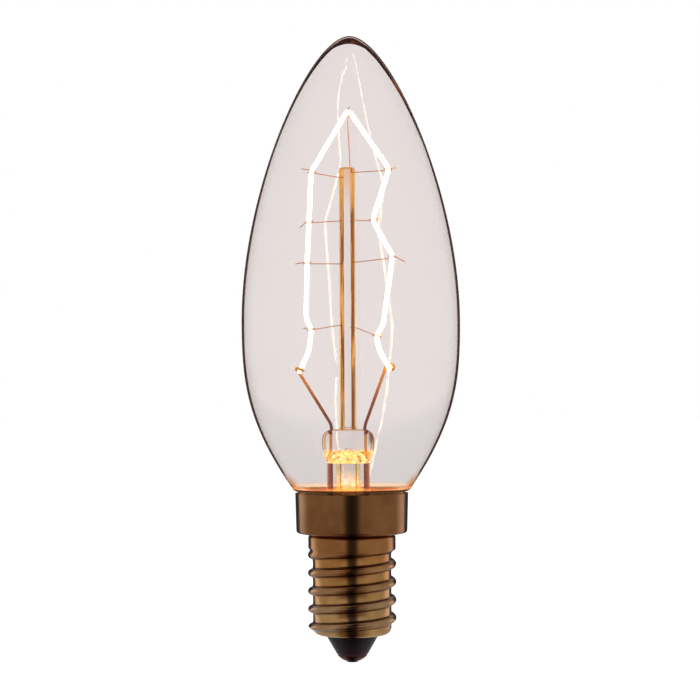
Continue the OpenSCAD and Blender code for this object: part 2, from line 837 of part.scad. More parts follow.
// Section of the shell's turned-in lower edge
function shell_foot(inset) = concat(
    [[valley_radius - inset, foot_top]],
    arc(
        [valley_radius - shell_corner, shell_bottom + shell_corner],
        shell_corner - inset, 0, -90, corner_steps
    ),
    [[insulator_diameter / 2, shell_bottom + inset]]
);

module cap_shell() {
    color([0.52, 0.38, 0.2]) {
        rotate_extrude()
            polygon(concat(collar_section(0), reversed(collar_section(brass_thickness))));
        rotate_extrude()
            polygon(concat(shell_foot(0), reversed(shell_foot(brass_thickness))));
        threaded_tube();
    }
}

insulator_top = shell_floor + insulator_fill;
insulator_fill_radius = valley_radius - shell_corner;
funnel_half_height = 0.4;

module insulator() {
    color([0.09, 0.07, 0.09])
        rotate_extrude()
            polygon([
                [shank_diameter / 2, contact_height],
                [contact_diameter / 2, contact_height],
                [insulator_diameter / 2, shell_bottom],
                [insulator_diameter / 2, shell_floor],
                [insulator_fill_radius, shell_floor],
                [insulator_fill_radius, insulator_top],
                [shank_diameter, shell_floor + funnel_half_height],
                [shank_diameter / 2, shell_floor - funnel_half_height]
            ]);
}

// The contact is a cap of a sphere that passes through the foot and through its own rim
contact_rim = contact_diameter / 2;
contact_sphere = (contact_rim * contact_rim + contact_height * contact_height) / (2 * contact_height);
solder_rim = solder_diameter / 2;

function contact_face(radius) = contact_sphere - sqrt(contact_sphere * contact_sphere - radius * radius);

function contact_arc(from, to) =
    [for (i = [0:corner_steps])
        let (r = from + (to - from) * i / corner_steps)
        [r, contact_face(r)]];

eyelet_drop = 0.6;
solder_depth = 1.2;
flat_edge = 0.05;
eyelet_top = shell_floor - eyelet_drop;
solder_top = contact_height + solder_depth;

module contact_eyelet() {
    color([0.45, 0.33, 0.18])
        rotate_extrude()
            polygon(concat(
                [[shank_bore / 2, contact_face(solder_rim)]],
                contact_arc(solder_rim, contact_rim),
                [
                    [shank_diameter / 2, contact_height],
                    [shank_diameter / 2, eyelet_top],
                    [shank_bore / 2, eyelet_top]
                ]
            ));
}

module contact_solder() {
    color([0.2, 0.17, 0.17])
        rotate_extrude()
            polygon(concat(
                [[0, 0], [contact_flat / 2, 0]],
                contact_arc(contact_flat / 2 + flat_edge, solder_rim),
                [
                    [shank_bore / 2, contact_face(solder_rim)],
                    [shank_bore / 2, solder_top],
                    [outer_lead_diameter / 2, solder_top],
                    [outer_lead_diameter / 2, wire_end_height],
                    [0, wire_end_height]
                ]
            ));
}

// Cone just outside the glass where it turns in under the shoulder, carried on a little past it
clearance_length = 1.4;

module glass_clearance() {
    translate([0, 0, neck_top])
        cylinder(
            r1 = neck_radius,
            r2 = neck_radius + (shoulder_radius - neck_radius) * clearance_length,
            h = (shoulder_height - neck_top) * clearance_length
        );
}

// Spot of solder over the shell lead's end, lapped over the collar's rim up to the glass
side_solder_drop = 0.1;

module side_solder() {
    color([0.62, 0.6, 0.58])
        difference() {
            translate([0, collar_radius, collar_top - side_solder_drop])
                sphere(r = side_solder_radius);
            translate([0, 0, collar_top - 2 * side_solder_radius])
                cylinder(r = collar_radius, h = 2 * side_solder_radius);
            glass_clearance();
        }
}

glass_envelope();
stem_flare();
stem_press();
exhaust_tube();
arbor_rod();
support_top();
left_support(0);  // support_left_1
left_support(1);  // support_left_2
left_support(2);  // support_left_3
left_support(3);  // support_left_4
right_support(0);  // support_right_1
right_support(1);  // support_right_2
right_support(2);  // support_right_3
right_support(3);  // support_right_4
filament();
inner_lead(-1);  // inner_lead_left
inner_lead(1);  // inner_lead_right
seal_wire(-1);  // seal_wire_left
seal_wire(1);  // seal_wire_right
outer_lead_upper();
fuse_link();
outer_lead_contact();
outer_lead_shell();
basing_cement();
cap_shell();
insulator();
contact_eyelet();
contact_solder();
side_solder();
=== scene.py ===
# %% [markdown]
# # A filament lamp with a candle-shaped glass
#
# The lamp is rebuilt here piece by piece in Blender: a blown glass, a glass stem
# with its wires, a glowing wound filament and a pressed brass screw cap.
# The solid model is loaded first. It fixes every size and place, and each piece
# below is laid over the solid that it stands for, in metres, with +Z up the axis
# and the lamp's foot at the origin.

# %% Load the solid model
import math

import bmesh
import bpy
import numpy as np
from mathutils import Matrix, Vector


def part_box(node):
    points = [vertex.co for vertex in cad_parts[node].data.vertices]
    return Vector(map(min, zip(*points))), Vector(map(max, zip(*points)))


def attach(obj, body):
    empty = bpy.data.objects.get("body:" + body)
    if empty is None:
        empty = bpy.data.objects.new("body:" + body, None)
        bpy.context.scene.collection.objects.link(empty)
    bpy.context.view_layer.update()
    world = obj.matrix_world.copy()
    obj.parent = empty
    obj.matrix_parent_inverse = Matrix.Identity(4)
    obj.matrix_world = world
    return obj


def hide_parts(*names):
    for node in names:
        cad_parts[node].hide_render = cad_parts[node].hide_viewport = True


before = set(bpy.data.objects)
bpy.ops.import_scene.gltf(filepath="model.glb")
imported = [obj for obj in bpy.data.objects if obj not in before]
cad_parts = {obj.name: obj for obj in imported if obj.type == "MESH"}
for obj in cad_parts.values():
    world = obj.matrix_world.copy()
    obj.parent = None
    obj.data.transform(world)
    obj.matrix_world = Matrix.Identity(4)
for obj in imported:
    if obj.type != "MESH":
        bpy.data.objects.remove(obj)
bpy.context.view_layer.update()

# %% [markdown]
# ## Sizes
#
# A lamp is drawn in millimetres, so one millimetre gets a name, and each size
# reads as it would on a drawing. Whatever the solid model can tell is read from
# it, because then a piece can't drift away from the solid under it.

# %% Measure the solids
MM = 0.001


def reach(node):
    """Half the width of a solid, its lowest height and its highest height."""
    low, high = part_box(node)
    return (high.x - low.x) / 2, low.z, high.z


glass_radius, neck_bottom, lamp_height = reach("glass_envelope")
collar_radius, shell_bottom, collar_top = reach("cap_shell")
rod_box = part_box("arbor_rod")
press_top, rod_top = rod_box[0].z, rod_box[1].z
stem_x = (rod_box[0].x + rod_box[1].x) / 2
press_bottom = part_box("stem_press")[0].z
shoulder_height = collar_top + 0.6 * MM
print("glass radius, collar radius, stem offset in mm:",
      [round(value / MM, 2) for value in (glass_radius, collar_radius, stem_x)])

# %% [markdown]
# ## Colours and nodes
#
# Colours are given as sRGB hex values, as on a paint card, while the
# renderer counts in linear light, so one function converts them. Materials are
# networks of nodes. One small function adds any node with its settings and links,
# and turns a hex value into its colour, which keeps each material below short
# enough to read.

# %% Two helpers for materials
def from_hex(code):
    """Linear colour of an sRGB hex value."""
    channels = [int(code[i:i + 2], 16) / 255 for i in (1, 3, 5)]
    return [c / 12.92 if c <= 0.04045 else ((c + 0.055) / 1.055) ** 2.4 for c in channels] + [1.0]


def add(tree, kind, sockets=None, links=None, stops=None, **settings):
    """A new node with its settings, its socket values, its incoming links and its ramp's stops."""
    node = tree.nodes.new(kind)
    for name, value in settings.items():
        setattr(node, name, value)
    for name, value in (sockets or {}).items():
        node.inputs[name].default_value = from_hex(value) if isinstance(value, str) else value
    for name, source in (links or {}).items():
        tree.links.new(source, node.inputs[name])
    if stops:
        ramp = node.color_ramp.elements
        while len(ramp) < len(stops):
            ramp.new(0.5)
        for element, (place, colour) in zip(ramp, stops):
            element.position = place
            element.color = from_hex(colour) if isinstance(colour, str) else colour
    return node


def new_material(name, **sockets):
    """A material with one Principled shader, whose sockets are set by name."""
    material = bpy.data.materials.new(name)
    material.use_nodes = True
    tree = material.node_tree
    tree.nodes.clear()
    words = {key.replace("_", " "): value for key, value in sockets.items()}
    shader = add(tree, "ShaderNodeBsdfPrincipled", sockets=words)
    add(tree, "ShaderNodeOutputMaterial", links={"Surface": shader.outputs[0]})
    return material, tree, shader


print("white is", from_hex("#ffffff"))

# %% [markdown]
# ## From rings to a skin
#
# Nearly every piece of a lamp is turned, drawn or blown, so it can be described
# as a stack of rings. Blender's own screw modifier would do for the turned ones,
# but the pinched press and the rolled thread aren't turned. One function that
# lays a skin over any stack of rings makes them all, and a ring that has shrunk
# to a point closes the skin by itself when its points are merged. A stack that
# climbs faces outwards and one that goes down faces the axis, which is how a
# hollow piece gets its inside: glass needs every face to look away from the glass.

# %% Skin over stacks of rings
def skin(name, stacks, material, nodes, looped=False, sharp_angle=35):
    """A smooth mesh over stacks of rings, which stands for the named solids."""
    points, faces = [], []
    for stack in stacks:
        stack = np.asarray(stack, float)
        count, around = stack.shape[:2]
        first = len(points)
        points += stack.reshape(-1, 3).tolist()
        for k in range(count if looped else count - 1):
            here, there = first + k * around, first + (k + 1) % count * around
            faces += [(here + i, here + (i + 1) % around, there + (i + 1) % around, there + i)
                      for i in range(around)]
    mesh = bpy.data.meshes.new(name)
    mesh.from_pydata(points, [], faces)
    work = bmesh.new()
    work.from_mesh(mesh)
    bmesh.ops.remove_doubles(work, verts=work.verts, dist=1e-7)
    work.to_mesh(mesh)
    work.free()
    mesh.polygons.foreach_set("use_smooth", [True] * len(mesh.polygons))
    mesh.set_sharp_from_angle(angle=math.radians(sharp_angle))
    piece = bpy.data.objects.new(name, mesh)
    bpy.context.collection.objects.link(piece)
    mesh.materials.append(material)
    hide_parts(*nodes)
    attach(piece, "root")
    print(name, len(mesh.polygons), "faces")
    return piece


def turned(profile, around=160, x=0.0):
    """Rings for an outline of (radius, height) points, turned about an upright axis at x."""
    angles = np.linspace(0, 2 * math.pi, around, endpoint=False)
    return [[(x + r * math.cos(a), r * math.sin(a), z) for a in angles] for r, z in profile]


# %% [markdown]
# ## Curves
#
# A blown glass has no straight stretch and no corner. Its flank is drawn with
# cubic curves, which need only their two ends and the pull at each, and a wall
# is the same curve moved sideways.

# %% Cubic curves and arcs
def cubic(handles, t):
    """Point of a cubic curve and the unit direction in which it runs there."""
    p = np.asarray(handles, float)
    s = 1 - t
    point = s ** 3 * p[0] + 3 * s * s * t * p[1] + 3 * s * t * t * p[2] + t ** 3 * p[3]
    run = s * s * (p[1] - p[0]) + 2 * s * t * (p[2] - p[1]) + t * t * (p[3] - p[2])
    return point, run / np.linalg.norm(run)


def beside(handles, t, distance):
    """Point a distance to the right of the curve's direction."""
    point, run = cubic(handles, t)
    return point + distance * np.array([run[1], -run[0]])


def arc(centre, radius, start, end, steps):
    """Points along an arc, with its angles in degrees."""
    return [(centre[0] + radius * math.cos(math.radians(a)), centre[1] + radius * math.sin(math.radians(a)))
            for a in np.linspace(start, end, steps + 1)]


def smooth(t):
    """Eases from 0 to 1."""
    t = min(max(t, 0.0), 1.0)
    return t * t * (3 - 2 * t)


print("halfway, the easing gives", smooth(0.5))

# %% [markdown]
# ## Clear glass
#
# The envelope is thin soda-lime glass, blown in a mould and fire polished, so it
# is perfectly smooth. Such glass is nearly invisible face on, and dark where the
# eye looks along the wall: there the light is trapped in the wall, which shows as
# a brown line just as wide as the wall is thick. That line is painted shade: a
# layer weight, which measures how squarely a surface faces the eye, paints it
# from every side. It starts where the wall does, and that is sooner near the tip,
# where the glass is thick for its width. Light that falls through to other pieces
# must not be blocked, so shadow rays find the glass transparent.

# %% Clear glass with a tint
GLASS_IOR = 1.5


def clear_glass(name):
    """Polished glass that lets shadow rays through, and what its tint is worked out from."""
    material, tree, shader = new_material(name, Roughness=0.0, IOR=GLASS_IOR, Transmission_Weight=1.0,
                                          Specular_Tint=(0.45, 0.45, 0.45, 1))
    ray = add(tree, "ShaderNodeLightPath")
    through = add(tree, "ShaderNodeBsdfTransparent")
    either = add(tree, "ShaderNodeMixShader", links={0: ray.outputs["Is Shadow Ray"]})
    tree.links.new(shader.outputs[0], either.inputs[1])
    tree.links.new(through.outputs[0], either.inputs[2])
    output = next(node for node in tree.nodes if node.type == "OUTPUT_MATERIAL")
    tree.links.new(either.outputs[0], output.inputs["Surface"])
    facing = add(tree, "ShaderNodeLayerWeight", sockets={"Blend": 0.5})
    place = add(tree, "ShaderNodeTexCoord")
    parts = add(tree, "ShaderNodeSeparateXYZ", links={0: place.outputs["Object"]})
    return material, tree, shader, facing.outputs["Facing"], parts.outputs["Z"], place.outputs["Object"]


print("IOR of the glass:", GLASS_IOR)

# %% Settings for shares and mixes
# A map range with this setting eases in and out, and its two limits may stand in falling order.
EASED = {"interpolation_type": "SMOOTHSTEP"}
# A mix node has sockets for numbers, vectors and colours side by side. These are the ones for colours.
COLOURS = {"data_type": "RGBA"}
SHARE, FIRST, SECOND, MIXED = 0, 6, 7, 2
print("a mix of colours comes out of socket", MIXED)

# %% Soda-lime glass, blown and fire polished: where its wall starts
blown_glass, tree, shader, facing, height, place = clear_glass("soda_lime_glass_blown")
up_flank = add(tree, "ShaderNodeMapRange", links={"Value": height},
               sockets={"From Min": 80 * MM, "From Max": 98 * MM})
wall_starts = add(tree, "ShaderNodeValToRGB", links={"Fac": up_flank.outputs["Result"]}, stops=[
    (up, (share, share, share, 1)) for up, share in (
        (0.0, 0.775), (0.4, 0.72), (0.6, 0.66), (0.76, 0.6), (0.86, 0.54), (0.915, 0.4))])
across = add(tree, "ShaderNodeSeparateXYZ", links={0: place})
leaning = add(tree, "ShaderNodeMapRange", links={"Value": across.outputs["X"]}, sockets={
    "From Min": -6 * MM, "From Max": 6 * MM, "To Min": 0.03, "To Max": -0.05})
uneven = add(tree, "ShaderNodeMath", operation="MULTIPLY",
             links={0: leaning.outputs["Result"], 1: up_flank.outputs["Result"]})
starts = add(tree, "ShaderNodeMath", operation="ADD",
             links={0: wall_starts.outputs["Color"], 1: uneven.outputs[0]})
into_wall = add(tree, "ShaderNodeMapRange", links={"Value": facing, "From Min": starts.outputs[0]},
                sockets={"From Max": 1.0})
print("nodes that find the wall:", len(tree.nodes))

# %% Its rim, painted shade: one dark line, and two with a painted bright one between them at the thick tip
face_on = "#f3eeed"
flank_rim = add(tree, "ShaderNodeValToRGB", links={"Fac": into_wall.outputs["Result"]}, stops=[
    (0.0, face_on), (0.07, "#220c0b"), (0.5, "#220c0b"), (0.7, "#6a4440")])
tip_rim = add(tree, "ShaderNodeValToRGB", links={"Fac": into_wall.outputs["Result"]}, stops=[
    (0.0, face_on), (0.04, "#080101"), (0.4, "#060101"), (0.5, "#c08c80"), (0.6, "#080202")])
toward_tip = add(tree, "ShaderNodeMapRange", links={"Value": height},
                 sockets={"From Min": 78 * MM, "From Max": 88 * MM}, **EASED)
rim = add(tree, "ShaderNodeMix", **COLOURS, links={
    SHARE: toward_tip.outputs["Result"], FIRST: flank_rim.outputs["Color"],
    SECOND: tip_rim.outputs["Color"]})
print("nodes with the rim:", len(tree.nodes))

# %% Painted warm light: amber patches in the rim at the tip, where the glass gathered
amber_noise = add(tree, "ShaderNodeTexNoise", links={"Vector": place},
              sockets={"Scale": 1 / (7 * MM), "Detail": 2.0})
patchy = add(tree, "ShaderNodeMapRange", links={"Value": amber_noise.outputs["Fac"]},
             sockets={"From Min": 0.5, "From Max": 0.66}, **EASED)
at_tip = add(tree, "ShaderNodeMapRange", links={"Value": height},
             sockets={"From Min": 86 * MM, "From Max": 97 * MM}, **EASED)
amber_share = add(tree, "ShaderNodeMath", operation="MULTIPLY",
                  links={0: patchy.outputs["Result"], 1: at_tip.outputs["Result"]})
inside_wall = add(tree, "ShaderNodeMapRange", links={"Value": into_wall.outputs["Result"]},
                  sockets={"From Min": 0.0, "From Max": 0.05}, **EASED)
amber_wall = add(tree, "ShaderNodeMix", links={SHARE: inside_wall.outputs["Result"]},
                 sockets={FIRST: face_on, SECOND: "#8a2606"}, **COLOURS)
warm_rim = add(tree, "ShaderNodeMix", **COLOURS, links={
    SHARE: amber_share.outputs[0], FIRST: rim.outputs[MIXED], SECOND: amber_wall.outputs[MIXED]})
print("nodes with the amber:", len(tree.nodes))

# %% [markdown]
# ## Light in the neck
#
# The neck's wall leads the filament's light down to the collar, where it leaves
# the glass as an orange band over a thin dark line. A path of light through so
# thin a wall would take very many samples to find, so the band and the line are
# laid on as a tint and a faint glow. Each fades in between two heights over the
# collar, and the dark line belongs to the wall in front alone. The wall's inner
# face is marked when the envelope is made, because only the outer face has the
# rim's tint.

# %% Heights over the collar, in mm: where each zone is empty and where it is full
neck_zones = {"band": (1.35, 0.9), "band_edges": (3.6, 1.8), "warm_inside": (1.5, 0.9),
              "dark_line": (0.78, 0.62), "above_line": (0.62, 0.78), "glow": (1.3, 0.75)}
zone = {}
for name, (empty, full) in neck_zones.items():
    fade = add(tree, "ShaderNodeMapRange", links={"Value": height}, sockets={
        "From Min": collar_top + empty * MM, "From Max": collar_top + full * MM}, **EASED)
    zone[name] = fade.outputs["Result"]
print("zones over the collar:", list(zone))

# %% Orange band and dark line
edge_on = add(tree, "ShaderNodeMapRange", links={"Value": facing},
              sockets={"From Min": 0.5, "From Max": 0.72}, **EASED)
band_edges = add(tree, "ShaderNodeMath", operation="MULTIPLY",
                 links={0: zone["band_edges"], 1: edge_on.outputs["Result"]})
band = add(tree, "ShaderNodeMath", links={0: zone["band"], 1: band_edges.outputs[0]}, operation="MAXIMUM")
banded = add(tree, "ShaderNodeMix", links={SHARE: band.outputs[0], FIRST: warm_rim.outputs[MIXED]},
             sockets={SECOND: "#ff9a54"}, **COLOURS)
inner = add(tree, "ShaderNodeAttribute", attribute_name="inner_face")
side = add(tree, "ShaderNodeNewGeometry")
not_front = add(tree, "ShaderNodeMath", operation="MAXIMUM",
                links={0: side.outputs["Backfacing"], 1: inner.outputs["Fac"]})
dark_line = add(tree, "ShaderNodeMath", operation="SUBTRACT", use_clamp=True,
                links={0: zone["dark_line"], 1: not_front.outputs[0]})
outer_tint = add(tree, "ShaderNodeMix", sockets={SECOND: "#140a04"}, **COLOURS,
                 links={SHARE: dark_line.outputs[0], FIRST: banded.outputs[MIXED]})
inner_tint = add(tree, "ShaderNodeMix", links={SHARE: zone["warm_inside"]},
                 sockets={FIRST: face_on, SECOND: "#fbe0bc"}, **COLOURS)
tint = add(tree, "ShaderNodeMix", **COLOURS, links={
    SHARE: not_front.outputs[0], FIRST: outer_tint.outputs[MIXED], SECOND: inner_tint.outputs[MIXED]})
mirror_tint = add(tree, "ShaderNodeMix", links={SHARE: inner.outputs["Fac"]},
                  sockets={FIRST: "#54423e", SECOND: "#ffffff"}, **COLOURS)
tree.links.new(tint.outputs[MIXED], shader.inputs["Base Color"])
tree.links.new(mirror_tint.outputs[MIXED], shader.inputs["Specular Tint"])
print("nodes with the band:", len(tree.nodes))

# %% Faint glow at the neck
at_rear = add(tree, "ShaderNodeMath", operation="SUBTRACT", use_clamp=True,
              links={0: side.outputs["Backfacing"], 1: inner.outputs["Fac"]})
glow_floor = add(tree, "ShaderNodeMath", operation="MAXIMUM",
                 links={0: zone["above_line"], 1: at_rear.outputs[0]})
glow_share = add(tree, "ShaderNodeMath", operation="MULTIPLY",
                 links={0: glow_floor.outputs[0], 1: zone["glow"]})
glow = add(tree, "ShaderNodeMix", links={SHARE: glow_share.outputs[0]},
           sockets={FIRST: "#000000", SECOND: "#f6c294"}, **COLOURS)
glow_strength = add(tree, "ShaderNodeMapRange", links={"Value": at_rear.outputs[0]},
                    sockets={"To Min": 0.19, "To Max": 0.26})
tree.links.new(glow.outputs[MIXED], shader.inputs["Emission Color"])
tree.links.new(glow_strength.outputs["Result"], shader.inputs["Emission Strength"])
print("made", blown_glass.name, "with", len(tree.nodes), "nodes")

# %% [markdown]
# ## The envelope
#
# A candle lamp's glass is a bubble blown in a mould: a neck that goes into the
# cap, a turn over the collar's edge, a lower flank, a widest part, and an upper
# flank that is drawn to a tip, where the glass gathers and is thickest. The wall
# is under half a millimetre, as wide as the dark line at its edge. Outer and
# inner face are made as one closed skin, because light must enter and leave a
# real wall.

# %% Outline of the envelope
brass_sheet = 0.3 * MM
cement_thickness = 0.6 * MM
glass_wall, tip_wall = 0.4 * MM, 1.05 * MM
neck_radius = collar_radius - brass_sheet - cement_thickness
neck_top = collar_top - 0.15 * MM
shoulder = np.array([collar_radius + 0.35 * MM, shoulder_height])
under_run = np.array([math.cos(math.radians(55.5)), math.sin(math.radians(55.5))])
equator = 53.2 * MM

neck_turn = [(neck_radius, neck_top), (neck_radius, neck_top + 0.36 * MM),
             shoulder - 0.42 * MM * under_run, shoulder]
lower_flank = [shoulder, shoulder + 12.9 * MM * under_run, (glass_radius, equator - 9 * MM),
               (glass_radius, equator)]
upper_flank = [(glass_radius, equator), (glass_radius, equator + 20.3 * MM),
               (6.3 * MM, lamp_height), (0, lamp_height)]


def envelope_face(inset):
    """The outer face where inset is 0 and the inner face where it is 1, from the neck up to the tip."""
    points = [(neck_radius - glass_wall * inset, neck_bottom)]
    points += [beside(neck_turn, t, -glass_wall * inset) for t in np.linspace(0, 1, 12, endpoint=False)]
    points += [beside(lower_flank, t, -glass_wall * inset) for t in np.linspace(0, 1, 36, endpoint=False)]
    for t in np.linspace(0, 1, 60, endpoint=False):
        wall = glass_wall + (tip_wall - glass_wall) * t ** 4
        points.append(beside(upper_flank, t, -wall * inset))
    return points + [(0, lamp_height - tip_wall * inset)]


print("neck radius in mm:", round(neck_radius / MM, 2))

# %% Blow the envelope
envelope = skin("envelope", [turned(envelope_face(0) + envelope_face(1)[::-1], 256)],
                blown_glass, ["glass_envelope"])
marks = envelope.data.attributes.new("inner_face", "FLOAT", "FACE")
for mark, face in zip(marks.data, envelope.data.polygons):
    out_from_middle = face.center - Vector((0, 0, equator))
    mark.value = 1.0 if face.normal.dot(out_from_middle) < 0 else 0.0
print("inner faces:", sum(mark.value for mark in marks.data))

# %% [markdown]
# ## Stem glass
#
# The stem is worked in a flame from clear lead glass: a tube with a trumpet foot,
# pinched flat at its top round the wires, with a thinner tube inside it for
# pumping out the air. It is thick for its size and stands close to the filament,
# so its edges glow amber in its light, and that glow is painted on as a tint. The
# pieces are fused to each other, so none of them has a face where they meet:
# light must pass from one to the next without a mirror between them. The painted
# tint is laid on where light enters a piece, and where it leaves again the glass
# stays clear, so that each edge is tinted once.

# %% Lead glass, flame worked
def stem_glass(name, stops):
    """Clear glass with a painted amber light tint for where light enters it, by stops of facing and colour.
    """
    material, tree, shader, facing, height, place = clear_glass(name)
    shader.inputs["Specular Tint"].default_value = from_hex("#d09050")
    tint = add(tree, "ShaderNodeValToRGB", links={"Fac": facing}, stops=stops)
    return material, tree, shader, tint.outputs["Color"], height, place


def finish_glass(tree, shader, place, tint, outside=0.0):
    """Lays the tint where light enters, on faces farther than this from the stem's axis."""
    side = add(tree, "ShaderNodeNewGeometry")
    flat = add(tree, "ShaderNodeVectorMath", links={0: place}, sockets={1: (1, 1, 0)}, operation="MULTIPLY")
    moved = add(tree, "ShaderNodeVectorMath", links={0: flat.outputs[0]}, sockets={1: (stem_x, 0, 0)},
                operation="SUBTRACT")
    from_stem = add(tree, "ShaderNodeVectorMath", links={0: moved.outputs[0]}, operation="LENGTH")
    within = add(tree, "ShaderNodeMath", links={0: from_stem.outputs["Value"]}, sockets={1: outside},
                 operation="LESS_THAN")
    clear = add(tree, "ShaderNodeMath", links={0: side.outputs["Backfacing"], 1: within.outputs[0]},
                operation="MAXIMUM")
    laid = add(tree, "ShaderNodeMix", links={SHARE: clear.outputs[0], FIRST: tint},
               sockets={SECOND: "#fdf9f6"}, **COLOURS)
    tree.links.new(laid.outputs[MIXED], shader.inputs["Base Color"])


def painted_honey_glow(tree, shader, place, share, strength):
    """Painted honey-coloured glow, standing in for the filament's light that leaves the glass where it is
    rough from fusing.
    """
    swirls = add(tree, "ShaderNodeTexNoise", links={"Vector": place},
                 sockets={"Scale": 1 / (1.0 * MM), "Detail": 4.0, "Distortion": 1.8})
    honey = add(tree, "ShaderNodeValToRGB", links={"Fac": swirls.outputs["Fac"]}, stops=[
        (0.38, "#6a2c08"), (0.45, "#e08a24"), (0.52, "#f8c454"), (0.6, "#fff2b8")])
    glow = add(tree, "ShaderNodeMix", links={SHARE: share, SECOND: honey.outputs["Color"]},
               sockets={FIRST: "#000000"}, **COLOURS)
    tree.links.new(glow.outputs[MIXED], shader.inputs["Emission Color"])
    shader.inputs["Emission Strength"].default_value = strength


print("the stem stands", round(stem_x / MM, 2), "mm from the lamp's axis")

# %% Lead glass, drawn into tubes
# Their bores stay clear: faces nearer to the stem's axis than these radii.
flare_bore, thin_bore = 3.1 * MM, 1.5 * MM
flare_glass, tree, shader, tint, height, place = stem_glass("lead_glass_tube", [
    (0.27, "#fbf4f0"), (0.33, "#640a00"), (0.64, "#6e1000"), (0.76, "#f08a2c"), (0.95, "#f6b460")])
finish_glass(tree, shader, place, tint, flare_bore)
into_cap = add(tree, "ShaderNodeMapRange", links={"Value": height}, sockets={
    "From Min": collar_top + 0.6 * MM, "From Max": collar_top - 0.2 * MM}, **EASED)
painted_honey_glow(tree, shader, place, into_cap.outputs["Result"], 0.3)
exhaust_glass, tree, shader, tint, height, place = stem_glass("lead_glass_tube_thin", [
    (0.15, "#fdf6ee"), (0.22, "#a84c08"), (0.3, "#ffd870"), (0.74, "#ffce5c"), (0.86, "#8a3c08")])
finish_glass(tree, shader, place, tint, thin_bore)
into_cap = add(tree, "ShaderNodeMapRange", links={"Value": height}, sockets={
    "From Min": collar_top + 4.5 * MM, "From Max": collar_top + 0.8 * MM}, **EASED)
painted_honey_glow(tree, shader, place, into_cap.outputs["Result"], 0.28)
print("made", flare_glass.name, "and", exhaust_glass.name)

# %% [markdown]
# ## The flare
#
# The flare's rim is melted to the foot of the neck, and its tube rises to the
# press. The stem of this lamp stands half a millimetre to the left, so the rim is
# stretched a little until it meets the neck all round.

# %% Flare
flare_radius, flare_wall = 3.4 * MM, 0.6 * MM
neck_inner_radius = neck_radius - glass_wall
flare_top = collar_top - 0.3 * MM
flare_curve = [(flare_radius, flare_top), (flare_radius, flare_top - 2.7 * MM),
               (neck_inner_radius - 2 * MM, neck_bottom + flare_wall),
               (neck_inner_radius + abs(stem_x), neck_bottom + flare_wall)]


def flare_face(inset):
    """The flare's outer or inner face, from the press down to the rim."""
    points = [(flare_radius - flare_wall * inset, press_bottom)]
    return points + [beside(flare_curve, t, flare_wall * inset) for t in np.linspace(0, 1, 28)]


def drawn_to_neck(rings):
    """The rings, moved to the stem's axis and kept inside the neck."""
    moved = []
    for ring in np.asarray(turned(rings, 128)):
        ring[:, 0] += stem_x
        from_axis = np.hypot(ring[:, 0], ring[:, 1])
        ring[:, :2] *= np.minimum(1, (neck_inner_radius - 0.01 * MM) / from_axis)[:, None]
        moved.append(ring)
    return moved


skin("stem_flare_glass", [drawn_to_neck(flare_face(1) + flare_face(0)[::-1])],
     flare_glass, ["stem_flare"])

# %% [markdown]
# ## The press
#
# While the tube's top is soft, two jaws pinch it flat round the wires. Its foot
# is still round, its flanks are broad and flat, and its shoulders are melted
# round. Each ring is a superellipse that goes from a circle to a flat slab. The
# gap round the exhaust tube ends inside its foot, and so does the channel that
# the air left by, as a small dome. Both closed while the glass was soft, so they
# get uneven folds, which break up the light as in the photograph. The press's
# right shoulder gets painted shade, a darker brown edge, and its fused foot a
# painted honey-coloured light.

# %% Rings of the press
press_height = press_top - press_bottom
press_half_width, press_half_depth = 4.1 * MM, 1.8 * MM
shoulder_round, edge_round = 1.6 * MM, 0.4 * MM
vent_radius, exhaust_radius, exhaust_bore = 1.15 * MM, 1.9 * MM, 1.2 * MM
rod_radius = (rod_box[1].x - rod_box[0].x) / 2 - 0.1 * MM


def drawn_in(height, radius):
    """How far a rounded top edge of this radius draws in at a height of the press."""
    share = min(max((height - (press_height - radius)) / radius, 0), 1)
    return radius * (1 - math.sqrt(1 - share * share * 0.98))


def press_ring(share, around=96):
    """One ring of the press, at a share of its height."""
    height = press_height * share
    swell = math.sin(math.pi / 2 * min(share / 0.61, 1))
    pinch = smooth(share / 0.4)
    half_width = flare_radius + (press_half_width - flare_radius) * swell - drawn_in(height, shoulder_round)
    half_depth = flare_radius + (press_half_depth - flare_radius) * pinch - drawn_in(height, edge_round)
    power = 1 - 0.42 * pinch
    ring = []
    for a in np.linspace(0, 2 * math.pi, around, endpoint=False):
        c, s = math.cos(a), math.sin(a)
        ring.append((stem_x + half_width * math.copysign(abs(c) ** power, c),
                     half_depth * math.copysign(abs(s) ** power, s), press_bottom + height))
    return ring


vent_top = press_bottom + press_height * 0.4
vent_face = arc((0, vent_top - vent_radius), vent_radius, 90, 0, 14)
vent_face += [(vent_radius, press_bottom + 0.3 * MM), (exhaust_bore, press_bottom)]
gap_middle = (exhaust_radius + flare_radius - flare_wall) / 2
gap_half = (flare_radius - flare_wall - exhaust_radius) / 2
gap_face = [(gap_middle - gap_half * math.cos(a), press_bottom + gap_half * 0.8 * math.sin(a))
            for a in np.linspace(0, math.pi, 11)]
print("press height in mm:", round(press_height / MM, 2))

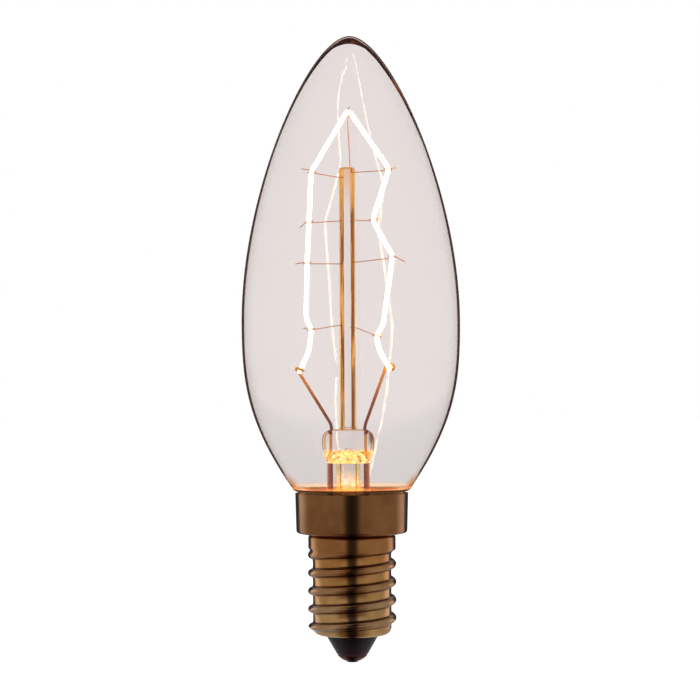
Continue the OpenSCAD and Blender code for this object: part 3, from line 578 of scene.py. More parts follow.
# %% Lead glass, pinched
press_glass, tree, shader, tint, height, place = stem_glass("lead_glass_pinched", [
    (0.12, "#fbf5f1"), (0.17, "#d8660c"), (0.26, "#f0962c"), (0.36, "#ffe2a0"), (0.46, "#e0761a"),
    (0.62, "#642000"), (0.95, "#8a3c08")])
# Painted shade: the edge of the right shoulder is darkened to brown.
to_right = add(tree, "ShaderNodeSeparateXYZ", links={0: place})
right_edge = add(tree, "ShaderNodeMapRange", links={"Value": to_right.outputs["X"]}, sockets={
    "From Min": stem_x + 2.8 * MM, "From Max": stem_x + 3.5 * MM}, **EASED)
upper_part = add(tree, "ShaderNodeMapRange", links={"Value": height}, sockets={
    "From Min": press_bottom + 1.8 * MM, "From Max": press_bottom + 3.8 * MM}, **EASED)
painted_dark_edge = add(tree, "ShaderNodeMath", operation="MULTIPLY",
               links={0: right_edge.outputs["Result"], 1: upper_part.outputs["Result"]})
darkened = add(tree, "ShaderNodeMix", links={SHARE: painted_dark_edge.outputs[0], FIRST: tint},
               sockets={SECOND: "#5a1a02"}, **COLOURS)
# Painted light: the fused foot is tinted honey yellow, and glows.
fused_part = add(tree, "ShaderNodeMapRange", links={"Value": height}, sockets={
    "From Min": press_bottom + 2.3 * MM, "From Max": press_bottom + 1.5 * MM}, **EASED)
honeyed = add(tree, "ShaderNodeMix", sockets={SECOND: "#f8c878"}, **COLOURS,
              links={SHARE: fused_part.outputs["Result"], FIRST: darkened.outputs[MIXED]})
finish_glass(tree, shader, place, honeyed.outputs[MIXED])
painted_honey_glow(tree, shader, place, fused_part.outputs["Result"], 0.5)
print("made", press_glass.name)


# %% Press with folds in its foot
def folded(rings, depth, rise_depth):
    """The rings with uneven folds, as shares of radius and height, which fade out at the press's foot."""
    rings = np.asarray(rings, float)
    out = rings[..., :2] - (stem_x, 0)
    rise = (rings[..., 2] - press_bottom) / MM
    angle = np.arctan2(out[..., 1], out[..., 0])
    fold = np.sin(3 * angle + 2.4 * rise) + 0.6 * np.sin(7 * angle - 3.7 * rise + 1)
    rings[..., :2] += depth * np.clip(rise / 0.5, 0, 1)[..., None] * fold[..., None] * out
    rings[..., 2] += rise_depth * rise * MM * (np.sin(2 * angle + 0.7) + 0.6 * np.sin(5 * angle + 2))
    return rings


slab = [press_ring(math.sin(math.pi / 2 * k / 40)) for k in range(41)]
slab += turned([(rod_radius, press_top)], 96, stem_x)
folds = [folded(turned(gap_face, 96, stem_x), 0, 0.6), folded(turned(vent_face, 96, stem_x), 0.1, 0.08)]
skin("stem_press_glass", [slab] + folds, press_glass, ["stem_press"])

# %% [markdown]
# ## The exhaust tube
#
# The air is pumped out through this tube, and its end is then melted shut and
# pulled to a point. It hangs inside the flare, hidden by the cap but for its top.

# %% Exhaust tube
exhaust_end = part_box("exhaust_tube")[0].z
taper = 3 * MM
tube_outside = [(0, exhaust_end), (0.3 * exhaust_radius, exhaust_end + 0.12 * taper),
                (0.72 * exhaust_radius, exhaust_end + 0.5 * taper), (exhaust_radius, exhaust_end + taper),
                (exhaust_radius, press_bottom)]
tube_inside = [(exhaust_bore, press_bottom), (exhaust_bore, exhaust_end + 1.2 * taper),
               (0.6 * exhaust_bore, exhaust_end + 0.8 * taper), (0, exhaust_end + 0.6 * taper)]
skin("exhaust_tube_glass", [turned(tube_outside, 64, stem_x), turned(tube_inside, 64, stem_x)],
     exhaust_glass, ["exhaust_tube"])

# %% [markdown]
# ## The rod
#
# A solid glass rod, fused to the press, carries the supports. A solid rod is a
# strong lens, so it shows dark amber lines along both sides and a clear middle;
# these are painted on as a tint, with painted golden glints along it and a
# painted warm glow towards its top, where the filament lights it. Its top is
# melted round, and its foot has a small bead where it was fused.

# %% Lead glass, drawn into a rod
rod_glass, tree, shader, tint, height, place = stem_glass("lead_glass_rod", [
    (0.075, "#fbf5f2"), (0.1, "#4e1000"), (0.4, "#5c1800"), (0.5, "#f58a1c"), (0.66, "#ffc050"),
    (0.9, "#f59a30")])
# Painted glints: golden streaks drawn out along the rod.
drawn = add(tree, "ShaderNodeMapping", links={"Vector": place}, sockets={"Scale": (1, 1, 0.06)})
streaks = add(tree, "ShaderNodeTexNoise", links={"Vector": drawn.outputs[0]},
              sockets={"Scale": 1 / (0.45 * MM), "Detail": 3.0})
in_streak = add(tree, "ShaderNodeMapRange", links={"Value": streaks.outputs["Fac"]},
                sockets={"From Min": 0.53, "From Max": 0.64}, **EASED)
streaked = add(tree, "ShaderNodeMix", links={SHARE: in_streak.outputs["Result"], FIRST: tint},
               sockets={SECOND: "#f08a1c"}, blend_type="LIGHTEN", **COLOURS)
# Painted light: the rod turns orange towards its top, near the filament.
near_top = add(tree, "ShaderNodeMapRange", links={"Value": height}, **EASED,
               sockets={"From Min": rod_top - 8 * MM, "From Max": rod_top - 0.5 * MM, "To Max": 0.75})
lit_top = add(tree, "ShaderNodeMix", sockets={SECOND: "#ff9a1c"}, **COLOURS,
              links={SHARE: near_top.outputs["Result"], FIRST: streaked.outputs[MIXED]})
finish_glass(tree, shader, place, lit_top.outputs[MIXED])
print("made", rod_glass.name)

# %% Rod
bead, melted_edge = 0.1 * MM, 0.45 * MM
rod_face = [(rod_radius, press_top)] + arc((rod_radius, press_top + 0.25 * MM), bead, -90, 90, 8)
rod_face += [(rod_radius, press_top + 0.5 * MM)]
rod_face += [(rod_radius, z) for z in np.linspace(press_top + MM, rod_top - 2 * melted_edge, 24)]
rod_face += arc((rod_radius - melted_edge, rod_top - melted_edge), melted_edge, 0, 90, 10) + [(0, rod_top)]
skin("arbor_rod_glass", [turned(rod_face, 64, stem_x)], rod_glass, ["arbor_rod"])

# %% [markdown]
# ## Wires
#
# Wires are drawn, so they are round and smooth, and each is a tube along a path.
# A curve object with a bevel would make one too, but a mesh keeps its normals
# under control and stays as it stands. The ring of each point is carried
# along the path without twisting, so that the tube doesn't pinch where it bends.

# %% Tube along a path
def wire(path, radius, around=12):
    """Rings round a path, carried along without twist, with both ends closed."""
    path = np.asarray(path, float)
    runs = np.gradient(path, axis=0)
    runs /= np.linalg.norm(runs, axis=1)[:, None]
    side = np.cross(runs[0], [0.3, 0.5, 0.8])
    rings = [[path[0]] * around]
    for point, run in zip(path, runs):
        side = side - run * np.dot(side, run)
        side /= np.linalg.norm(side)
        other = np.cross(run, side)
        rings.append([point + radius * (math.cos(a) * side + math.sin(a) * other)
                      for a in np.linspace(0, 2 * math.pi, around, endpoint=False)])
    return rings + [[path[-1]] * around]


def rounded(path, bend, steps=8):
    """The path with each inner corner replaced by a curve that starts a bend's length before it."""
    path = [np.asarray(point, float) for point in path]
    result = [path[0]]
    for before, corner, after in zip(path, path[1:], path[2:]):
        start = corner + bend * (before - corner) / np.linalg.norm(before - corner)
        end = corner + bend * (after - corner) / np.linalg.norm(after - corner)
        result += [(1 - t) ** 2 * start + 2 * (1 - t) * t * corner + t * t * end
                   for t in np.linspace(0, 1, steps)]
    return result + [path[-1]]


def evenly(path, step):
    """Points a step apart along the path."""
    path = np.asarray(path, float)
    along = np.concatenate([[0], np.cumsum(np.linalg.norm(np.diff(path, axis=0), axis=1))])
    places = np.linspace(0, along[-1], max(2, int(round(along[-1] / step)) + 1))
    return np.stack([np.interp(places, along, path[:, k]) for k in range(3)], axis=1), along[-1]


print("a tube of two points has", len(wire([(0, 0, 0), (0, 0, 1)], 1)), "rings")

# %% [markdown]
# ## Where the filament runs
#
# The filament goes up one side of the cage and down the other, over nine hooks.
# The hooks stand on a circle round the axis, at shares of the rod's length that
# were read from the photograph. The filament is soft when hot: it bulges outwards
# just above its lowest hooks and hangs slack down to the leads.

# %% Route of the filament
cage_radius = 6.9 * MM
rod_length = rod_top - press_top
filament_radius = 0.35 * MM


def cage_point(angle, share):
    """Point of the cage, in a direction, at a share of the rod's length below its top."""
    return np.array([cage_radius * math.cos(math.radians(angle)), cage_radius * math.sin(math.radians(angle)),
                     rod_top - share * rod_length])


left_corners = [cage_point(a, s) for a, s in zip((209, 161, 191, 154.5), (0.027, 0.203, 0.366, 0.615))]
right_corners = [cage_point(a, s) for a, s in zip((-29, -60.5, -18, -56), (0.015, 0.215, 0.344, 0.65))]
peak = np.array([stem_x / 2, 0, rod_top + 9.1 * MM])
left_tip = np.array([-8.2 * MM, 0, press_top + 0.22 * rod_length])
right_tip = np.array([5.5 * MM, 0, press_top + 0.239 * rod_length])


def unit(vector):
    """The vector's direction."""
    return vector / np.linalg.norm(vector)


def kink_above(corner, above):
    """Where the soft filament bulges outwards above a hook."""
    return corner + 1.8 * MM * unit(above - corner) + 0.78 * MM * unit(corner * [1, 0.3, 0])


left_sag = (left_corners[3] + left_tip) / 2 + [0.6 * MM, 0, 0]
right_sag = (right_corners[3] + right_tip) / 2 - [0.2 * MM, 0, 0]
print("peak of the filament's route in mm:", round(peak[2] / MM, 1))

# %% [markdown]
# ## The leads
#
# Two stiff leads stand up from the press, lean outwards and end in a clamp: the
# tip is bent most of a turn round the filament's end. They are nickel-plated iron
# that has gone brown with heat. The wires sealed in the glass are copper-clad, so
# that they shrink with it and stay tight.

# %% Lead and seal wires
seal_low, seal_high = press_bottom + 0.8 * MM, press_top - 0.8 * MM
lead_x = {-1: stem_x - 2.6 * MM, 1: stem_x + 2.6 * MM}
lead_radius = 0.25 * MM
clamp_radius = lead_radius + filament_radius + 0.06 * MM


def clamp(tip, sag, side):
    """The clamp's middle, the filament's direction there, and the path of the whole lead."""
    knee = np.array([lead_x[side] + side * 0.15 * MM, 0, press_top + 0.9 * MM])
    end_run, heading = unit(sag - tip), unit(tip - knee)
    inward = unit(np.cross(end_run, heading))
    inward *= math.copysign(1, inward[0])
    heart = tip + clamp_radius * inward
    over = unit(heading - np.dot(heading, end_run) * end_run)
    turn = [heart + clamp_radius * (math.sin(a) * over - math.cos(a) * inward)
            for a in np.radians(np.linspace(0, 210, 22))]
    foot = [(lead_x[side], 0, seal_high), (lead_x[side], 0, press_top + 0.2 * MM), knee, turn[0]]
    return heart, end_run, rounded(foot, 0.3 * MM) + turn[1:]


left_heart, left_run, left_path = clamp(left_tip, left_sag, -1)
right_heart, right_run, right_path = clamp(right_tip, right_sag, 1)
print("clamps in mm:", np.round(left_heart / MM, 2), np.round(right_heart / MM, 2))

# %% Nickel-plated iron, drawn and tinted by heat
# Drawing leaves it smooth. Heat has browned it, and towards the filament a painted golden light is laid over
# the brown.
lead_metal, tree, shader = new_material("nickel_plated_iron_heat_tinted_painted_glow", Metallic=0.75, Roughness=0.38)
place = add(tree, "ShaderNodeTexCoord")
height = add(tree, "ShaderNodeSeparateXYZ", links={0: place.outputs["Object"]})
up_lead = add(tree, "ShaderNodeMapRange", links={"Value": height.outputs["Z"]},
              sockets={"From Min": press_top, "From Max": left_tip[2]})
heat_tint_and_glow = add(tree, "ShaderNodeValToRGB", links={"Fac": up_lead.outputs["Result"]}, stops=[
    (0.0, "#843a14"), (0.5, "#a6541c"), (0.95, "#e6983c")])
tree.links.new(heat_tint_and_glow.outputs["Color"], shader.inputs["Base Color"])
for side, path in ((-1, left_path), (1, right_path)):
    name = "left" if side < 0 else "right"
    skin("lead_" + name, [wire(path, lead_radius)], lead_metal, ["inner_lead_" + name])

# %% Copper, drawn
# Bare copper has a smooth warm sheen, mottled where hands and flame have browned it.
copper, tree, shader = new_material("copper_drawn", Metallic=1.0, Roughness=0.3)


def mottled(tree, shader, grain, detail, stops):
    """Gives the base colour soft mottles about this wide, from one tone to another."""
    mottle = add(tree, "ShaderNodeTexNoise", sockets={"Scale": 1 / grain, "Detail": detail})
    tones = add(tree, "ShaderNodeValToRGB", links={"Fac": mottle.outputs["Fac"]}, stops=stops)
    tree.links.new(tones.outputs["Color"], shader.inputs["Base Color"])


mottled(tree, shader, 1.5 * MM, 4.0, [(0.35, "#8a4a2a"), (0.65, "#c9825a")])
print("made", copper.name)

# %% Copper-clad seal wire, borated
# Its borate glaze melts into the glass, so it looks paler and more golden than bare copper.
seal_metal, tree, shader = new_material("copper_clad_borated", Metallic=0.6, Roughness=0.35)
mottled(tree, shader, MM, 4.0, [(0.35, "#c8772c"), (0.65, "#f2a850")])
seal_radius, outer_radius = 0.2 * MM, 0.15 * MM
for side, name in ((-1, "left"), (1, "right")):
    skin("seal_" + name, [wire([(lead_x[side], 0, seal_low), (lead_x[side], 0, seal_high)], seal_radius)],
         seal_metal, ["seal_wire_" + name])

# %% [markdown]
# ## The wires inside the cap
#
# Below the press, one copper lead runs through a thin fuse to the contact at the
# foot, and the other goes round the neck and up to the collar's rim. They are
# hidden by the cap, but the model is whole, and their tops show through the glass.

# %% Outer leads and fuse
fuse_low, fuse_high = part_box("fuse_link")[0].z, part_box("fuse_link")[1].z
contact_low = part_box("outer_lead_contact")[0].z
shell_lead_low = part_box("outer_lead_shell")[0].z + outer_radius
shell_lead_radius = neck_radius + cement_thickness / 2
insulator_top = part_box("insulator")[1].z

skin("outer_lead_upper_wire", [wire([(lead_x[-1], 0, fuse_high), (lead_x[-1], 0, seal_low)], outer_radius)],
     copper, ["outer_lead_upper"])
to_contact = [(lead_x[-1], 0, fuse_low), (lead_x[-1], 0, exhaust_end - MM), (0, 0, insulator_top + MM),
              (0, 0, contact_low)]
skin("outer_lead_contact_wire", [wire(rounded(to_contact, 0.6 * MM), outer_radius)],
     copper, ["outer_lead_contact"])
to_shell = [(lead_x[1], 0, seal_low), (lead_x[1], 0, shell_lead_low), (0, shell_lead_radius, shell_lead_low),
            (0, shell_lead_radius, collar_top)]
skin("outer_lead_shell_wire", [wire(rounded(to_shell, 0.3 * MM), outer_radius)],
     copper, ["outer_lead_shell"])

# %% Nickel silver, drawn
# A pale grey wire with a soft shine, as thin as a hair. It melts if the current grows too strong.
fuse_metal, tree, shader = new_material("nickel_silver_drawn", Metallic=1.0, Roughness=0.3)
mottled(tree, shader, MM, 2.0, [(0.4, "#9c9c9a"), (0.6, "#c4c4c2")])
skin("fuse_wire", [wire([(lead_x[-1], 0, fuse_low), (lead_x[-1], 0, fuse_high)], 0.06 * MM)],
     fuse_metal, ["fuse_link"])

# %% [markdown]
# ## The filament
#
# The filament is tungsten wire wound into a long fine coil. The photograph shows
# it white-hot, as a plain bright line, because the coil is finer than its pixels.
# The real pitch, about a tenth of a millimetre, is too fine to show, so the coil
# is wound here with a pitch of 0.3 mm. It is a true helix round the route, and it
# lights the lamp by itself.

# %% Tungsten, wound, white-hot
hot_tungsten, tree, shader = new_material("tungsten_wound_white_hot", Metallic=1.0, Roughness=0.5,
                                          Base_Color="#6a625c", Emission_Color="#ffdcb0")
ray = add(tree, "ShaderNodeLightPath")
mirrored = add(tree, "ShaderNodeMapRange", links={"Value": ray.outputs["Is Glossy Ray"]},
               sockets={"To Min": 2.4, "To Max": 14.0})
tree.links.new(mirrored.outputs["Result"], shader.inputs["Emission Strength"])
print("made", hot_tungsten.name)

# %% Wind the filament
coil_pitch, coil_wire = 0.3 * MM, 0.08 * MM
turn_points = 10
route = [left_heart - 0.4 * MM * left_run, left_sag, left_corners[3],
         kink_above(left_corners[3], left_corners[2]), left_corners[2], left_corners[1], left_corners[0],
         peak, right_corners[0], right_corners[1], right_corners[2],
         kink_above(right_corners[3], right_corners[2]), right_corners[3], right_sag,
         right_heart - 0.4 * MM * right_run]
filament_bend = 0.8 * MM
axis, filament_length = evenly(rounded(route, filament_bend), coil_pitch / turn_points)


def wound(axis, radius):
    """A helix round the axis, one point of it for each point of the axis."""
    runs = np.gradient(axis, axis=0)
    runs /= np.linalg.norm(runs, axis=1)[:, None]
    side = np.cross(runs[0], [0, 1, 0])
    points = []
    for k, (point, run) in enumerate(zip(axis, runs)):
        side = side - run * np.dot(side, run)
        side /= np.linalg.norm(side)
        angle = 2 * math.pi * k / turn_points
        points.append(point + radius * (math.cos(angle) * side + math.sin(angle) * np.cross(run, side)))
    return points


skin("filament_coil", [wire(wound(axis, filament_radius - coil_wire), coil_wire, 6)],
     hot_tungsten, ["filament"], sharp_angle=80)
print("filament length in mm:", round(filament_length / MM, 1), "turns:", len(axis) // turn_points)

# %% [markdown]
# ## The supports
#
# Nine hair-fine wires are pushed into the soft rod and hold the filament, each
# with one loose turn round it and a cut tail. They are molybdenum, a dull grey
# metal, and are coloured brown here, as the filament's light makes them look in
# the photograph. No two are alike, because they are bent by hand: each has its
# own root height, tail length and droop.

# %% Molybdenum, drawn
support_metal, tree, shader = new_material("molybdenum_drawn", Metallic=0.8, Roughness=0.4)
mottled(tree, shader, 1.2 * MM, 3.0, [(0.35, "#9c4e1c"), (0.65, "#dc9040")])
print("made", support_metal.name)

# %% Supports round the cage
support_radius, support_embed = 0.07 * MM, 0.8 * MM
loop_radius = 0.63 * MM
loop_climb = 0.36 * MM


def bend_middle(k):
    """Middle of the filament's bend at a corner of its route."""
    start = route[k] + filament_bend * unit(route[k - 1] - route[k])
    end = route[k] + filament_bend * unit(route[k + 1] - route[k])
    return 0.25 * start + 0.5 * route[k] + 0.25 * end


def turn_round(centre, run, side, climb, radius):
    """One turn of wire round a point, climbing as it goes."""
    return [centre + radius * (math.cos(a) * side + math.sin(a) * run) + climb * (a / (2 * math.pi) - 0.5)
            for a in np.linspace(0, 2 * math.pi, 28)]


def support_path(hook, rise, tail, droop):
    """From inside the rod, out to the hook, round the filament and on into the tail."""
    angle = math.atan2(hook[1], hook[0] - stem_x)
    run = np.array([math.cos(angle), math.sin(angle), 0])
    side = np.array([-math.sin(angle), math.cos(angle), 0])
    root = (rod_radius - support_embed) * run + [stem_x, 0, min(hook[2] + rise, rod_top - 0.6 * MM)]
    turn = turn_round(hook, run, side, np.array([0, 0, loop_climb]), loop_radius)
    down = math.radians(droop)
    return rounded([root, root + run * (support_embed + 0.5 * MM), turn[0]], 0.3 * MM) + turn[1:] + [
        turn[-1] + tail * (math.cos(down) * run - [0, 0, math.sin(down)])]


hooks = {"left": [bend_middle(k) for k in (6, 5, 4, 2)], "right": [bend_middle(k) for k in (8, 9, 10, 12)]}
rises = {"left": (-0.5, 0, -0.1, 0.5), "right": (-0.2, 0.4, -0.7, 1.5)}
tails = {"left": (2.2, 1.7, 2, 1), "right": (1, 0.9, 2.2, 0.8)}
droops = {"left": (-4, 38, 12, 0), "right": (5, 0, 28, 0)}
for side in ("left", "right"):
    for i in range(4):
        path = support_path(hooks[side][i], rises[side][i] * MM, tails[side][i] * MM, droops[side][i])
        skin(f"support_wire_{side}_{i + 1}", [wire(path, support_radius, 8)],
             support_metal, [f"support_{side}_{i + 1}"])

top_root = np.array([stem_x + 0.5 * MM, 0, rod_top - support_embed])
top_turn = turn_round(bend_middle(7) - [0, 0, 0.25 * MM], np.array([0, 0, 1]), np.array([0, 1, 0]),
                      np.array([loop_climb, 0, 0]), loop_radius * 1.12)
top_path = [top_root, top_root + [0, 0, support_embed + 0.5 * MM]]
top_path += top_turn + [top_turn[-1] + [0, 0, 1.1 * MM]]
skin("support_wire_top", [wire(top_path, support_radius, 8)], support_metal, ["support_top"])

# %% [markdown]
# ## The screw cap
#
# The cap is one cup of brass sheet, pressed and then rolled: a tapering collar, a
# plain band, a round rolled thread and a turned-in lower edge. Because the thread
# is rolled, it shows inside as well as outside, and its crests and valleys are
# soft. The valleys between the ridges are very slightly hollow. Rows of points
# that climb the whole height are enough for it, if they lie close together: at
# each point, the ridge adds its height to the valley's radius.

# %% Heights and radii of the cap
thread_pitch, thread_depth, ridge_width = 2.822 * MM, 0.78 * MM, 1.6 * MM
crest_radius = 6.925 * MM
valley_radius = crest_radius - thread_depth
band_radius = 6.85 * MM
band_bottom = shell_bottom + 13.9 * MM
band_top = band_bottom + 1.65 * MM
collar_foot_radius = collar_radius - 0.15 * MM
collar_corner, shell_corner = 0.45 * MM, 1.1 * MM
collar_corner_top = band_top + 0.35 * MM + collar_corner
insulator_radius = 4.2 * MM
thread_low = shell_bottom + 0.3 * MM
thread_high = band_bottom - 0.15 * MM
# The valleys' hollow is too fine for the solid, and gives each valley its soft shine.
hollow = 0.035 * MM
print("valley radius in mm:", round(valley_radius / MM, 3))


# %% Outline of the thread
def thread_radius(angle, height):
    """Radius of the thread's outer face in a direction and at a height."""
    phase = (height - shell_bottom - 2.6 * MM) / thread_pitch - angle / (2 * math.pi)
    from_crest = abs(phase - round(phase)) * thread_pitch
    away = min(from_crest / (ridge_width / 2), 1)
    ridge = (thread_depth - hollow) * math.cos(math.pi / 2 * away) ** 0.7 * smooth((1 - away) / 0.35)
    ridge += hollow * min((thread_pitch / 2 - from_crest) / ((thread_pitch - ridge_width) / 2), 1) ** 2
    fade_in = smooth((height - thread_low) / (1.1 * MM))
    fade_out = smooth((thread_high - height) / (1.2 * MM))
    below = max(shell_bottom + shell_corner - height, 0)
    foot = valley_radius - shell_corner + math.sqrt(shell_corner ** 2 - below ** 2)
    return foot + (band_radius - valley_radius) * (1 - fade_out) + ridge * fade_in * fade_out


print("a crest in front reaches in mm:",
      round(max(thread_radius(0, shell_bottom + k * thread_pitch / 9) for k in range(18, 36)) / MM, 3))


# %% Sections of the foot and the collar
def foot_face(inset):
    """Section of the turned-in lower edge, from its hole out and up to the lowest ridge."""
    points = [(insulator_radius, shell_bottom + inset)]
    foot_middle = (valley_radius - shell_corner, shell_bottom + shell_corner)
    return points + arc(foot_middle, shell_corner - inset, -90, -50, 6)


def collar_face(inset):
    """Section of the band, the collar's underside and the collar, upwards."""
    points = [(band_radius - inset, z) for z in np.linspace(band_bottom, band_top - 0.3 * MM, 6)]
    points += [(band_radius - inset - 0.04 * MM, band_top - 0.2 * MM - 0.5 * inset),
               (band_radius - 0.3 * MM - 0.5 * inset, band_top + inset)]
    points += arc((collar_foot_radius - collar_corner, collar_corner_top), collar_corner - inset, -80, 0, 12)
    top = collar_radius - inset
    low = collar_foot_radius - inset
    rise = collar_top - collar_corner_top
    return points + [(low + (top - low) * k / 12, collar_corner_top + rise * k / 12) for k in range(1, 13)]


print("points of the foot and the collar:", len(foot_face(0)), len(collar_face(0)))


# %% Rings of the thread
def rolled_rings(inset, around=240, rows=210):
    """Rings of the threaded tube at a depth inside its outer face."""
    rings = []
    for z in np.linspace(thread_low, thread_high, rows):
        ring = []
        for a in np.linspace(0, 2 * math.pi, around, endpoint=False):
            r = thread_radius(a, z) - inset
            ring.append((r * math.cos(a), r * math.sin(a), z))
        rings.append(ring)
    return rings


print("the thread rises in mm:", round((thread_high - thread_low) / MM, 2))

# %% [markdown]
# ## Dulled brass
#
# The cap was bright brass once. Lacquer, heat and handling have turned it brown:
# darker and greyer on the crests, which are rubbed, and still tan in the valleys.
# Painted shade darkens the foot of each ridge, and a painted reflection of the
# white floor leaves the cap paler towards its foot and warmer towards the band.
# The rolling and pressing left fine lines that run round it. The colour is worked
# out from the distance to the lamp's axis, which tells crest from valley, from
# the height, and from noise drawn out round the cap.

# %% Brass, pressed, rolled and dulled
brass, tree, shader = new_material("brass_pressed_and_dulled", Metallic=1.0)
place = add(tree, "ShaderNodeTexCoord")
parts = add(tree, "ShaderNodeSeparateXYZ", links={0: place.outputs["Object"]})
flat = add(tree, "ShaderNodeCombineXYZ", links={"X": parts.outputs["X"], "Y": parts.outputs["Y"]})
from_axis = add(tree, "ShaderNodeVectorMath", links={0: flat.outputs[0]}, operation="LENGTH")
valley_to_crest = add(tree, "ShaderNodeMapRange", links={"Value": from_axis.outputs["Value"]},
           sockets={"From Min": valley_radius, "From Max": crest_radius})
# Painted shade: the dark stop just above the valley darkens the foot of each ridge.
tone = add(tree, "ShaderNodeValToRGB", links={"Fac": valley_to_crest.outputs["Result"]}, stops=[
    (0.02, "#c6a26e"), (0.1, "#74502e"), (0.3, "#7c5c44"),
    (0.6, "#9c7c60"), (0.86, "#b09068"), (1.0, "#b89a78")])
# Painted reflection of the white floor: paler towards the cap's foot, warmer and darker towards the band.
up_cap = add(tree, "ShaderNodeMapRange", links={"Value": parts.outputs["Z"]},
             sockets={"From Min": shell_bottom, "From Max": band_top}, **EASED)
floor_sheen_tint = add(tree, "ShaderNodeMix", links={SHARE: up_cap.outputs["Result"]},
             sockets={FIRST: "#ffffff", SECOND: "#eccaa6"}, **COLOURS)
with_floor_sheen = add(tree, "ShaderNodeMix", links={FIRST: tone.outputs["Color"], SECOND: floor_sheen_tint.outputs[MIXED]},
             sockets={SHARE: 1.0}, blend_type="MULTIPLY", **COLOURS)
on_collar = add(tree, "ShaderNodeMapRange", links={"Value": from_axis.outputs["Value"]}, sockets={
    "From Min": collar_foot_radius - 0.4 * MM, "From Max": collar_foot_radius - 0.1 * MM}, **EASED)
whole = add(tree, "ShaderNodeMix", sockets={SECOND: "#8e643e"}, **COLOURS,
            links={SHARE: on_collar.outputs["Result"], FIRST: with_floor_sheen.outputs[MIXED]})
print("nodes for the brass's tone:", len(tree.nodes))

# %% Its dulled patches and the fine lines of rolling
patches = add(tree, "ShaderNodeTexNoise", links={"Vector": place.outputs["Object"]},
              sockets={"Scale": 1 / (4.5 * MM), "Detail": 6.0, "Roughness": 0.6})
rubbed = add(tree, "ShaderNodeMapRange", links={"Value": patches.outputs["Fac"]},
             sockets={"From Min": 0.3, "From Max": 0.7}, **EASED)
dulled = add(tree, "ShaderNodeMix", links={SHARE: rubbed.outputs["Result"]},
             sockets={FIRST: "#e2d6ce", SECOND: "#ffffff"}, **COLOURS)
colour = add(tree, "ShaderNodeMix", links={FIRST: whole.outputs[MIXED], SECOND: dulled.outputs[MIXED]},
             sockets={SHARE: 1.0}, blend_type="MULTIPLY", **COLOURS)
tree.links.new(colour.outputs[MIXED], shader.inputs["Base Color"])
gloss = add(tree, "ShaderNodeMapRange", links={"Value": patches.outputs["Fac"]},
            sockets={"From Min": 0.3, "From Max": 0.7, "To Min": 0.22, "To Max": 0.15})
tree.links.new(gloss.outputs["Result"], shader.inputs["Roughness"])
rolled = add(tree, "ShaderNodeMapping", links={"Vector": place.outputs["Object"]},
             sockets={"Scale": (1, 1, 6)})
lines = add(tree, "ShaderNodeTexNoise", links={"Vector": rolled.outputs[0]},
            sockets={"Scale": 1 / (1.2 * MM), "Detail": 3.0})
bump = add(tree, "ShaderNodeBump", links={"Height": lines.outputs["Fac"]},
           sockets={"Strength": 0.1, "Distance": 0.01 * MM})
tree.links.new(bump.outputs["Normal"], shader.inputs["Normal"])
print("made", brass.name)

# %% Press and roll the cap
outside = turned(foot_face(0), 240) + rolled_rings(0) + turned(collar_face(0), 240)
inside = turned(foot_face(brass_sheet), 240) + rolled_rings(brass_sheet)
inside += turned(collar_face(brass_sheet), 240)
skin("cap_shell_brass", [outside + inside[::-1]], brass, ["cap_shell"], looped=True)

# %% [markdown]
# ## Cement, insulator and contact
#
# A baked cement ring holds the glass in the collar. It wets the glass, so its
# inner face lies a hair inside the neck's wall here, and light in the glass falls
# straight on it. It glows orange, because the neck leads the lamp's own light
# down to it. Under the shell, black glass insulates the contact: a brass
# eyelet, filled with solder that has gone dark and is worn flat at its foot.

# %% Cement, baked
# It is resin and marble flour, dull and grainy, coloured here as the light in the neck makes it look.
cement, tree, shader = new_material("lamp_cement_baked", Roughness=0.85)
mottled(tree, shader, 0.5 * MM, 4.0, [(0.3, "#c98a4a"), (0.7, "#f0b878")])
cement_top = collar_top - 0.25 * MM
cement_inner = neck_radius - 0.05 * MM
cement_ring = [(cement_inner, neck_bottom), (collar_radius - 0.45 * MM, neck_bottom),
               (collar_radius - 0.31 * MM, cement_top), (cement_inner, cement_top)]
skin("basing_cement_ring", [turned(cement_ring, 128)], cement, ["basing_cement"], looped=True)

# %% Black glass, pressed
# The mould leaves it glossy with faint dimples. Its foot is tinted a dark red-brown.
black_glass, tree, shader = new_material("black_glass_pressed", IOR=1.52, Specular_IOR_Level=0.15)
place = add(tree, "ShaderNodeTexCoord")
height = add(tree, "ShaderNodeSeparateXYZ", links={0: place.outputs["Object"]})
low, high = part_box("insulator")[0].z, shell_bottom
up_cone = add(tree, "ShaderNodeMapRange", links={"Value": height.outputs["Z"]},
              sockets={"From Min": low, "From Max": high})
tone = add(tree, "ShaderNodeValToRGB", links={"Fac": up_cone.outputs["Result"]}, stops=[
    (0.0, "#4a2c32"), (0.2, "#281e22"), (0.8, "#1e181b")])
tree.links.new(tone.outputs["Color"], shader.inputs["Base Color"])
dimples = add(tree, "ShaderNodeTexNoise", links={"Vector": place.outputs["Object"]},
              sockets={"Scale": 1 / (0.8 * MM), "Detail": 3.0})
gloss = add(tree, "ShaderNodeMapRange", links={"Value": dimples.outputs["Fac"]},
            sockets={"To Min": 0.16, "To Max": 0.34})
tree.links.new(gloss.outputs["Result"], shader.inputs["Roughness"])
bump = add(tree, "ShaderNodeBump", links={"Height": dimples.outputs["Fac"]},
           sockets={"Strength": 0.3, "Distance": 0.05 * MM})
tree.links.new(bump.outputs["Normal"], shader.inputs["Normal"])

